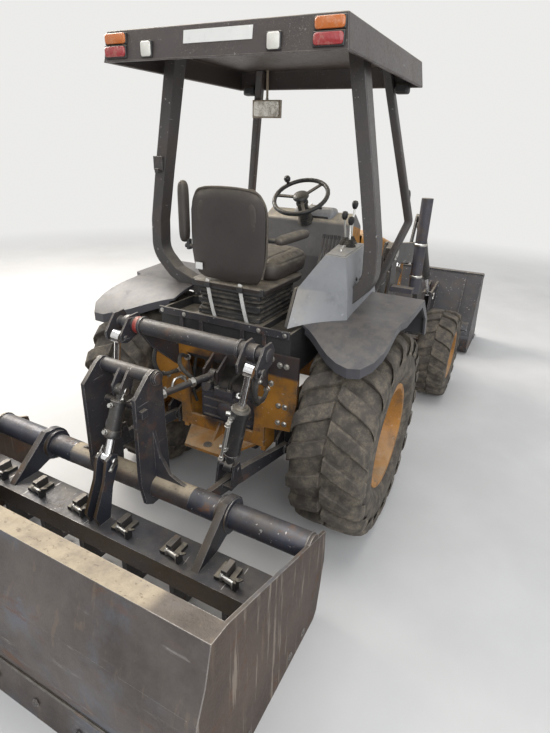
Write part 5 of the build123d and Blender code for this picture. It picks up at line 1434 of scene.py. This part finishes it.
def make_seat():
    """Suspension bellows with its straps, pan, cushion, back with its moulded shell, and armrests."""
    dressed("seat_base", "black", 0.004)
    folds = Shape()
    for k in range(6):
        z = SEAT_DECK_Z + 40 + k * 28
        rings = []
        for inset, level in ((20, z), (4, z + 8), (4, z + 15), (20, z + 26)):
            rings.append([(-100 + a, b, level) for a, b in rounded(446 - 2 * inset, 436 - 2 * inset, 46, 4)])
        folds.rings(rings)
    folds.piece("seat_bellows", "bellows", "tractor", 0.002, slot="bellows", angle=50)
    straps = Shape()
    for start, end in (((-334, 124, 1490), (-336, 66, 1260)), ((-334, -91, 1490), (-336, -150, 1260))):
        straps.strip(smooth([(start[0] + 12, start[1] + 2, start[2] + 16), start,
                             ((start[0] + end[0]) / 2 - 7, (start[1] + end[1]) / 2, (start[2] + end[2]) / 2),
                             end], 5),
                     (0, 1, 0.25), 24, 4)
    straps.piece("seat_straps", "strap", "tractor")
    buckles = Shape()
    for y, z in ((122, 1480), (-93, 1480)):
        buckles.block((-346, -334), (y - 18, y + 18), (z - 16, z + 18))
    buckles.piece("strap_buckles", "black", "tractor", 0.003)
    pan = Shape()
    pan.rings([[(-80 + a, b, z) for a, b in rounded(w, d, 50, 4)] for w, d, z in
               ((440, 450, 1458), (500, 492, 1470), (512, 500, 1492), (500, 488, 1500))])
    pan.piece("seat_pan", "shell", "tractor", 0.002, angle=50)
    rings = []
    for z, grow, push in ((1501, -20, 0), (1512, -6, 0), (1540, 0, 0), (1580, 0, 3), (1610, -10, 8),
                          (1622, -34, 12)):
        rings.append([(52 + push + a, b, z + (10 if a > 120 else 0) * (z - 1501) / 120)
                      for a, b in rounded(470 + 2 * grow, 480 + 2 * grow, 90, 5)])
    seams = (groove(1, 150, 6, 6, -150, 250, 0), groove(1, -150, 6, 6, -150, 250, 0),
             groove(0, 160, 6, 5, -150, 150, 1), groove(2, 1598, 5, 4, -400, 400, 1))
    cushion = pad("seat_cushion_pad", rings, "vinyl", "tractor", seams)
    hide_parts("seat_cushion")
    back = []
    for z, half, front, rear in ((1522, 150, -214, -300), (1534, 186, -214, -316), (1590, 214, -206, -330),
                                 (1660, 226, -206, -336), (1760, 230, -212, -340), (1860, 228, -222, -342),
                                 (1930, 216, -232, -342), (1976, 192, -246, -338), (1998, 160, -262, -330)):
        mid = (front + rear) / 2
        outline = rounded(front - rear - 34, half * 2, (front - rear - 34) * 0.42, 5)
        back.append([(mid + a, b, z) for a, b in outline])
    seams = (groove(1, 128, 6, 6, 1560, 1940, 2), groove(1, -128, 6, 6, 1560, 1940, 2),
             groove(2, 1730, 6, 5, -128, 128, 1), groove(2, 1850, 6, 5, -128, 128, 1))
    rest = pad("seat_back_pad", back, "vinyl", "tractor", seams)
    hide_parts("seat_back")
    shell = Shape()
    rings = []
    for z, half, x in ((1512, 176, -318), (1534, 200, -333), (1590, 224, -341), (1660, 233, -344),
                       (1770, 235, -344), (1880, 233, -344), (1940, 220, -342), (1982, 194, -336),
                       (2004, 150, -326)):
        rings.append([(x + 6 + 20 * (abs(b) / half) ** 4, b, z) for b in [half * t / 8 for t in range(-8, 9)]]
                     + [(x + 26 + 14 * (abs(b) / half) ** 4, b, z)
                        for b in [half * 0.97 * t / 8 for t in range(8, -9, -1)]])
    shell.rings(rings)
    shell.piece("seat_back_shell", "shell", "tractor", 0.002, angle=50)
    piping = Shape()
    half_line = [(-306, 214, 1550), (-300, 232, 1660), (-300, 236, 1770), (-302, 233, 1880),
                 (-308, 212, 1950), (-318, 160, 1994)]
    line = [(x, -y, z) for x, y, z in half_line] + [(-322, 0, 2006)] + half_line[::-1]
    piping.tube(smooth(line, 6), 6.5, 8)
    piping.piece("seat_back_piping", "vinyl", "tractor")
    tag = Shape()
    tag.block((-343, -340), (150, 196), (1562, 1600))
    tag.piece("blank_seat_tag", "plate", "tractor")
    rest_left = []
    for z, grow in ((1694, -16), (1706, -2), (1770, 0), (1860, 0), (1960, 0), (2012, -3), (2026, -16)):
        rest_left.append([(-305 + a, 292 + b, z) for a, b in rounded(64 + 2 * grow, 54 + 2 * grow, 20, 4)])
    first = pad("armrest_left_pad", rest_left, "vinyl", "tractor", (), 3.0, 0.004, 0.005)
    rest_right = []
    for x, grow in ((-298, -14), (-288, -2), (-200, 0), (-60, 0), (30, 0), (50, -3), (60, -14)):
        outline = rounded(62 + 2 * grow, 50 + 2 * grow, 20, 4)
        rest_right.append([(x, -296 + a, 1757.5 + b) for a, b in outline])
    pad("armrest_right_pad", rest_right, "vinyl", "tractor", (), 3.0, 0.004, 0.005)
    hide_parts("armrests")
    hinge = Shape()
    hinge.bar((-300, 236, 1675), (-300, 290, 1675), 13, 16)
    hinge.bar((-280, -236, 1757), (-280, -290, 1757), 13, 16)
    hinge.block((-314, -286), (258, 276), (1656, 1714))
    hinge.piece("armrest_hinges", "black", "tractor", 0.002)


def make_canopy():
    """Posts, roof, lamps, mirror and blank plates."""
    dressed("rear_posts", "post", 0.006)
    dressed("front_posts", "post", 0.006)
    dressed("canopy_roof", "canopy", 0.006)
    dressed("roof_lamps", "black", 0.006)
    dressed("mirrors", "tan", 0.012)
    for side, hand in ((1, "left"), (-1, "right")):
        for kind, z, face in (("amber", 2662, -436), ("red", 2606, -444)):
            glass = Shape()
            layers = ((face + 4, 1.0), (face - 3, 1.0), (face - 6, 0.96), (face - 8, 0.86))
            glass.rings(layered(side * 566, z, 130, 44, 13, layers, 4))
            glass.piece(f"{kind}_lens_{hand}", kind, "tractor", angle=60, slot="lamp")
        work = Shape()
        middle = 371 if side > 0 else -318
        work.rings(layered(middle, 2611, 60, 62, 10, ((-440, 1.0), (-446, 1.0), (-449, 0.9)), 3))
        work.piece("rear_work_lens_" + hand, "clear", "tractor", angle=60, slot="lamp")
        front = Shape()
        layers = ((800, 0.6), (812, 0.95), (848, 1.0), (852, 1.0))
        front.rings(layered(side * 545, 2556, 86, 60, 14, layers, 3))
        front.piece("front_work_lamp_" + hand, "black", "tractor", 0.002, slot="lamp")
        glass = Shape()
        glass.rings(layered(side * 545, 2556, 78, 52, 12, ((851, 1.0), (856, 0.96)), 3))
        glass.piece("front_work_lens_" + hand, "clear", "tractor", slot="lamp")
    plates = Shape()
    outline = ((-207, 2624), (160, 2624), (160, 2677), (-207, 2677))
    plates.rings([[(-434 - d + (z - 2578) * LAMP_SLOPE, y, z) for y, z in outline] for d in (0, 3)])
    for low, high in ((-300, -120), (340, 560)):
        outline = ((low, 2596), (high, 2596), (high, 2668), (low, 2668))
        plates.rings([[(x, -652 - d + (z - 2565) * LAMP_SLOPE, z) for x, z in outline] for d in (0, 3)])
    plates.piece("blank_plates", "plate", "tractor", 0.001)
    rim = Shape()
    rim.strip([(-434, -650, 2567), (882, -650, 2567), (882, 650, 2567), (-434, 650, 2567),
               (-434, -650, 2567)],
              (0, 0, 1), 6, 8)
    rim.piece("roof_lip", "canopy", "tractor", 0.001, angle=20)
    glass = Shape()
    glass.rings(layered(390, 2442, 200, 94, 18, ((794, 1), (791.5, 1)), 4))
    glass.piece("mirror_glass", "mirror", "tractor")
    ball = Shape()
    ball.lathe([(0, -12), (9, -9), (12, 0), (9, 9), (0, 12)], (806, 390, 2502), (0, 0, 1), 16)
    ball.piece("mirror_joint", "zinc", "tractor", angle=60)
    places = [((x, side * (528 + y), 2662), (0, 0, -1)) for side in (1, -1) for x in (-62, 62)
              for y in (-30, 30)]
    bolts("roof_bolts", places, "zinc", "tractor", 9, 7)
    bracket = Shape()
    bracket.block((-64, -49), (628, 696), (2050, 2130))
    bracket.block((-82, -48), (650, 676), (2036, 2060))
    bracket.piece("post_bracket", "post", "tractor", 0.003)
    slab = Shape()
    for side in (1, -1):
        slab.block((-80, 80), (min(side * 450, side * 610), max(side * 450, side * 610)), (2662, 2674))
    slab.piece("roof_pads", "canopy", "tractor", 0.002)


PALE = (0.84, 0.835, 0.82, 1)


def area_lamp(name, place, target, size, power, colour=(1, 1, 1)):
    """A large soft lamp that looks at a point."""
    data = bpy.data.lights.new(name, "AREA")
    data.shape = "DISK"
    data.size = size
    data.energy = power
    data.color = colour
    lamp = bpy.data.objects.new(name, data)
    lamp.location = place
    lamp.rotation_euler = (Vector(target) - Vector(place)).to_track_quat("-Z", "Y").to_euler()
    bpy.context.scene.collection.objects.link(lamp)


def make_stage(settings):
    """Camera at the photograph's place, pale floor and world, soft lamps."""
    scene = bpy.context.scene
    yaw, pitch, roll = (math.radians(value) for value in settings.camera_turn)
    ahead = Vector((math.cos(yaw) * math.cos(pitch), math.sin(yaw) * math.cos(pitch), -math.sin(pitch)))
    right = Vector((math.sin(yaw), -math.cos(yaw), 0))
    up = right.cross(ahead)
    level = right * math.cos(roll) + up * math.sin(roll)
    above = up * math.cos(roll) - right * math.sin(roll)
    data = bpy.data.cameras.new("photo_view")
    data.sensor_fit = "VERTICAL"
    data.sensor_height = 36.0
    data.lens = settings.focal_length
    camera = bpy.data.objects.new("photo_view", data)
    turn = Matrix((level, above, -ahead)).transposed().to_4x4()
    camera.matrix_world = Matrix.Translation(at(*[part * 1000 for part in settings.camera_place])) @ turn
    scene.collection.objects.link(camera)
    scene.camera = camera
    scene.view_settings.view_transform = "Standard"

    ground = Shape()
    reach = settings.floor_size * 500
    ground.add([(-reach, -reach, 0), (reach, -reach, 0), (reach, reach, 0), (-reach, reach, 0)],
               [(0, 1, 2, 3)])
    plain = Finish("pale floor")
    cloud = plain.noise(0.9, 4, 0.6).between(0.3, 0.7)
    tone = plain.mix((0.56, 0.548, 0.530), (0.62, 0.608, 0.590), cloud)
    material = plain.done(tone, 0.85)
    across, along = plain.axis("X"), plain.axis("Y")
    far = (across * across + along * along).between(26.0, 130.0)
    seen = plain.node("ShaderNodeLightPath", out="Is Camera Ray")
    backdrop = plain.node("ShaderNodeEmission", inputs={"Color": PALE})
    blend = plain.node("ShaderNodeMixShader", inputs={
        0: far * seen, 1: Value(plain.tree, plain.shader.outputs[0]), 2: backdrop})
    plain.tree.links.new(blend.socket, plain.output.inputs[0])
    data = ground.mesh("floor")
    data.materials.append(material)
    floor = bpy.data.objects.new("floor", data)
    scene.collection.objects.link(floor)

    world = bpy.data.worlds.new("studio")
    world.use_nodes = True
    tree = world.node_tree
    tree.nodes.clear()
    path = new_node(tree, "ShaderNodeLightPath")
    seen = new_node(tree, "ShaderNodeBackground", inputs={"Color": PALE})
    light = new_node(tree, "ShaderNodeBackground", inputs={
        "Color": (0.90, 0.94, 1.0, 1), "Strength": settings.sky_strength})
    glossy = new_node(tree, "ShaderNodeMath", {"operation": "MAXIMUM"}, {
        0: path.outputs["Is Camera Ray"], 1: path.outputs["Is Glossy Ray"]})
    pick = new_node(tree, "ShaderNodeMixShader", inputs={
        0: glossy.outputs[0], 1: light.outputs[0], 2: seen.outputs[0]})
    new_node(tree, "ShaderNodeOutputWorld", inputs={0: pick.outputs[0]})
    scene.world = world
    middle = at(400, 0, 1000)
    area_lamp("key", at(1500, 6500, 6500), middle, 5.0, settings.key_power, (1.0, 0.95, 0.88))
    area_lamp("fill", at(-6000, -5000, 5000), middle, 6.0, settings.key_power * 0.55, (0.93, 0.96, 1.0))
    area_lamp("top", at(0, 0, 8000), middle, 6.0, settings.key_power * 0.35)


class TRACTOR_PG_look(bpy.types.PropertyGroup):
    """Colours that a user would change."""

    yellow: FloatVectorProperty(name="Frame paint", description="Orange-yellow of the frame and hood",
                                subtype="COLOR", size=3, min=0.0, max=1.0, default=(0.50, 0.215, 0.028))
    canopy: FloatVectorProperty(name="Canopy paint", description="Dark paint of the canopy", subtype="COLOR",
                                size=3, min=0.0, max=1.0, default=(0.060, 0.050, 0.047))
    rubber: FloatVectorProperty(name="Tyre rubber", description="Dusty rubber of the tyres", subtype="COLOR",
                                size=3, min=0.0, max=1.0, default=(0.056, 0.047, 0.039))
    fender: FloatVectorProperty(name="Fender plastic", description="Moulded plastic of the fenders",
                                subtype="COLOR", size=3, min=0.0, max=1.0, default=(0.062, 0.060, 0.066))
    vinyl: FloatVectorProperty(name="Seat vinyl", description="Cover of the seat", subtype="COLOR",
                               size=3, min=0.0, max=1.0, default=(0.038, 0.031, 0.027))


class TRACTOR_PG_wheels(bpy.types.PropertyGroup):
    """Counts of what repeats round the wheels."""

    rear_lugs: IntProperty(name="Rear lugs", description="Lugs on each half of a rear tyre", default=20,
                           min=8, max=32)
    front_lugs: IntProperty(name="Front lugs", description="Lugs on each half of a front tyre", default=17,
                            min=8, max=32)


class TRACTOR_PG_stage(bpy.types.PropertyGroup):
    """Camera, floor and lamps."""

    camera_place: FloatVectorProperty(name="Camera place",
                                      description="Camera from the rear axle on the ground",
                                      subtype="TRANSLATION", unit="LENGTH", size=3,
                                      default=(-2.573, -1.465, 2.210))
    camera_turn: FloatVectorProperty(name="Camera turn", description="Yaw, pitch down and roll in degrees",
                                     size=3, default=(26.967, 24.353, 2.058))
    focal_length: FloatProperty(name="Focal length", description="Lens for a 36 mm high sensor",
                                default=23.937, min=8.0, max=200.0, unit="CAMERA")
    floor_size: FloatProperty(name="Floor size", description="Side of the floor", default=240.0, min=10.0,
                              unit="LENGTH")
    sky_strength: FloatProperty(name="Sky strength", description="Light from all round", default=0.62,
                                min=0.0, max=3.0)
    key_power: FloatProperty(name="Key power", description="Power of the main lamp", default=760.0, min=0.0,
                             unit="POWER")


class TRACTOR_OT_finishes(bpy.types.Operator):
    """Makes every paint, rubber, plastic and metal finish"""

    bl_idname = "tractor.finishes"
    bl_label = "Finishes"

    def execute(self, context):
        make_finishes(context.scene.tractor_look)
        trees.update({"ring": ring_tree(), "row": row_tree(), "bolts": bolt_tree()})
        return {"FINISHED"}


class TRACTOR_OT_rear_tyres(bpy.types.Operator):
    """Makes the two rear tyres with their lugs"""

    bl_idname = "tractor.rear_tyres"
    bl_label = "Rear tyres"

    def execute(self, context):
        make_rear_tyres(context.scene.tractor_wheels.rear_lugs)
        return {"FINISHED"}


class TRACTOR_OT_front_tyres(bpy.types.Operator):
    """Makes the two front tyres with their lugs"""

    bl_idname = "tractor.front_tyres"
    bl_label = "Front tyres"

    def execute(self, context):
        make_front_tyres(context.scene.tractor_wheels.front_lugs)
        return {"FINISHED"}


class TRACTOR_OT_rims(bpy.types.Operator):
    """Makes the rims with their nuts"""

    bl_idname = "tractor.rims"
    bl_label = "Rims"

    def execute(self, context):
        make_rims()
        return {"FINISHED"}


class TRACTOR_OT_running_gear(bpy.types.Operator):
    """Makes the frame, axles, knuckles and rear hoses"""

    bl_idname = "tractor.running_gear"
    bl_label = "Frame and axles"

    def execute(self, context):
        make_running_gear()
        return {"FINISHED"}


class TRACTOR_OT_hood(bpy.types.Operator):
    """Makes the hood, grille, screens and stack"""

    bl_idname = "tractor.hood"
    bl_label = "Hood"

    def execute(self, context):
        make_hood()
        return {"FINISHED"}


class TRACTOR_OT_loader(bpy.types.Operator):
    """Makes the tower, arms, bucket and loader cylinders"""

    bl_idname = "tractor.loader"
    bl_label = "Loader"

    def execute(self, context):
        make_loader()
        return {"FINISHED"}


class TRACTOR_OT_hitch(bpy.types.Operator):
    """Makes the hitch tube, links and lift cylinders"""

    bl_idname = "tractor.hitch"
    bl_label = "Rear hitch"

    def execute(self, context):
        make_hitch()
        return {"FINISHED"}


class TRACTOR_OT_scraper(bpy.types.Operator):
    """Makes the box, mast, ripper beam and shanks"""

    bl_idname = "tractor.scraper"
    bl_label = "Box scraper"

    def execute(self, context):
        make_scraper()
        return {"FINISHED"}


class TRACTOR_OT_platform(bpy.types.Operator):
    """Makes the floor, fenders, console body and cowl body"""

    bl_idname = "tractor.platform"
    bl_label = "Platform"

    def execute(self, context):
        make_platform()
        return {"FINISHED"}


class TRACTOR_OT_console(bpy.types.Operator):
    """Makes the console details, levers and bent rods"""

    bl_idname = "tractor.console"
    bl_label = "Console"

    def execute(self, context):
        make_console()
        return {"FINISHED"}


class TRACTOR_OT_cowl(bpy.types.Operator):
    """Makes the instrument hood, column, wheel details and pedals"""

    bl_idname = "tractor.cowl"
    bl_label = "Cowl parts"

    def execute(self, context):
        make_cowl_parts()
        return {"FINISHED"}


class TRACTOR_OT_seat(bpy.types.Operator):
    """Makes the bellows, cushion, back and armrests"""

    bl_idname = "tractor.seat"
    bl_label = "Seat"

    def execute(self, context):
        make_seat()
        return {"FINISHED"}


class TRACTOR_OT_canopy(bpy.types.Operator):
    """Makes the posts, roof, lamps and mirror"""

    bl_idname = "tractor.canopy"
    bl_label = "Canopy"

    def execute(self, context):
        make_canopy()
        return {"FINISHED"}


class TRACTOR_OT_stage(bpy.types.Operator):
    """Makes the camera, floor, world and lamps"""

    bl_idname = "tractor.stage"
    bl_label = "Stage"

    def execute(self, context):
        make_stage(context.scene.tractor_stage)
        return {"FINISHED"}


MAKERS = (
    TRACTOR_OT_finishes,
    TRACTOR_OT_stage,
    TRACTOR_OT_rear_tyres,
    TRACTOR_OT_front_tyres,
    TRACTOR_OT_rims,
    TRACTOR_OT_running_gear,
    TRACTOR_OT_hood,
    TRACTOR_OT_loader,
    TRACTOR_OT_hitch,
    TRACTOR_OT_scraper,
    TRACTOR_OT_platform,
    TRACTOR_OT_console,
    TRACTOR_OT_cowl,
    TRACTOR_OT_seat,
    TRACTOR_OT_canopy,
)


class TRACTOR_PT_panel(bpy.types.Panel):
    """Lists the colours, sizes and makers"""

    bl_idname = "TRACTOR_PT_panel"
    bl_label = "Tractor loader"
    bl_space_type = "VIEW_3D"
    bl_region_type = "UI"
    bl_category = "Tractor"

    def draw(self, context):
        scene = context.scene
        for group in (scene.tractor_look, scene.tractor_wheels, scene.tractor_stage):
            box = self.layout.box()
            for name in group.__annotations__:
                box.prop(group, name)
        for maker in MAKERS:
            self.layout.operator(maker.bl_idname)


GROUPS = (TRACTOR_PG_look, TRACTOR_PG_wheels, TRACTOR_PG_stage)


def register():
    for item in GROUPS + MAKERS + (TRACTOR_PT_panel,):
        bpy.utils.register_class(item)
    bpy.types.Scene.tractor_look = PointerProperty(type=TRACTOR_PG_look)
    bpy.types.Scene.tractor_wheels = PointerProperty(type=TRACTOR_PG_wheels)
    bpy.types.Scene.tractor_stage = PointerProperty(type=TRACTOR_PG_stage)


def unregister():
    del bpy.types.Scene.tractor_stage
    del bpy.types.Scene.tractor_wheels
    del bpy.types.Scene.tractor_look
    for item in reversed(GROUPS + MAKERS + (TRACTOR_PT_panel,)):
        bpy.utils.unregister_class(item)


def main():
    register()
    for maker in MAKERS:
        family, name = maker.bl_idname.split(".")
        if getattr(getattr(bpy.ops, family), name)() != {"FINISHED"}:
            raise RuntimeError("the maker " + name + " did not finish")
    bpy.context.view_layer.update()


if __name__ == "__main__":
    main()
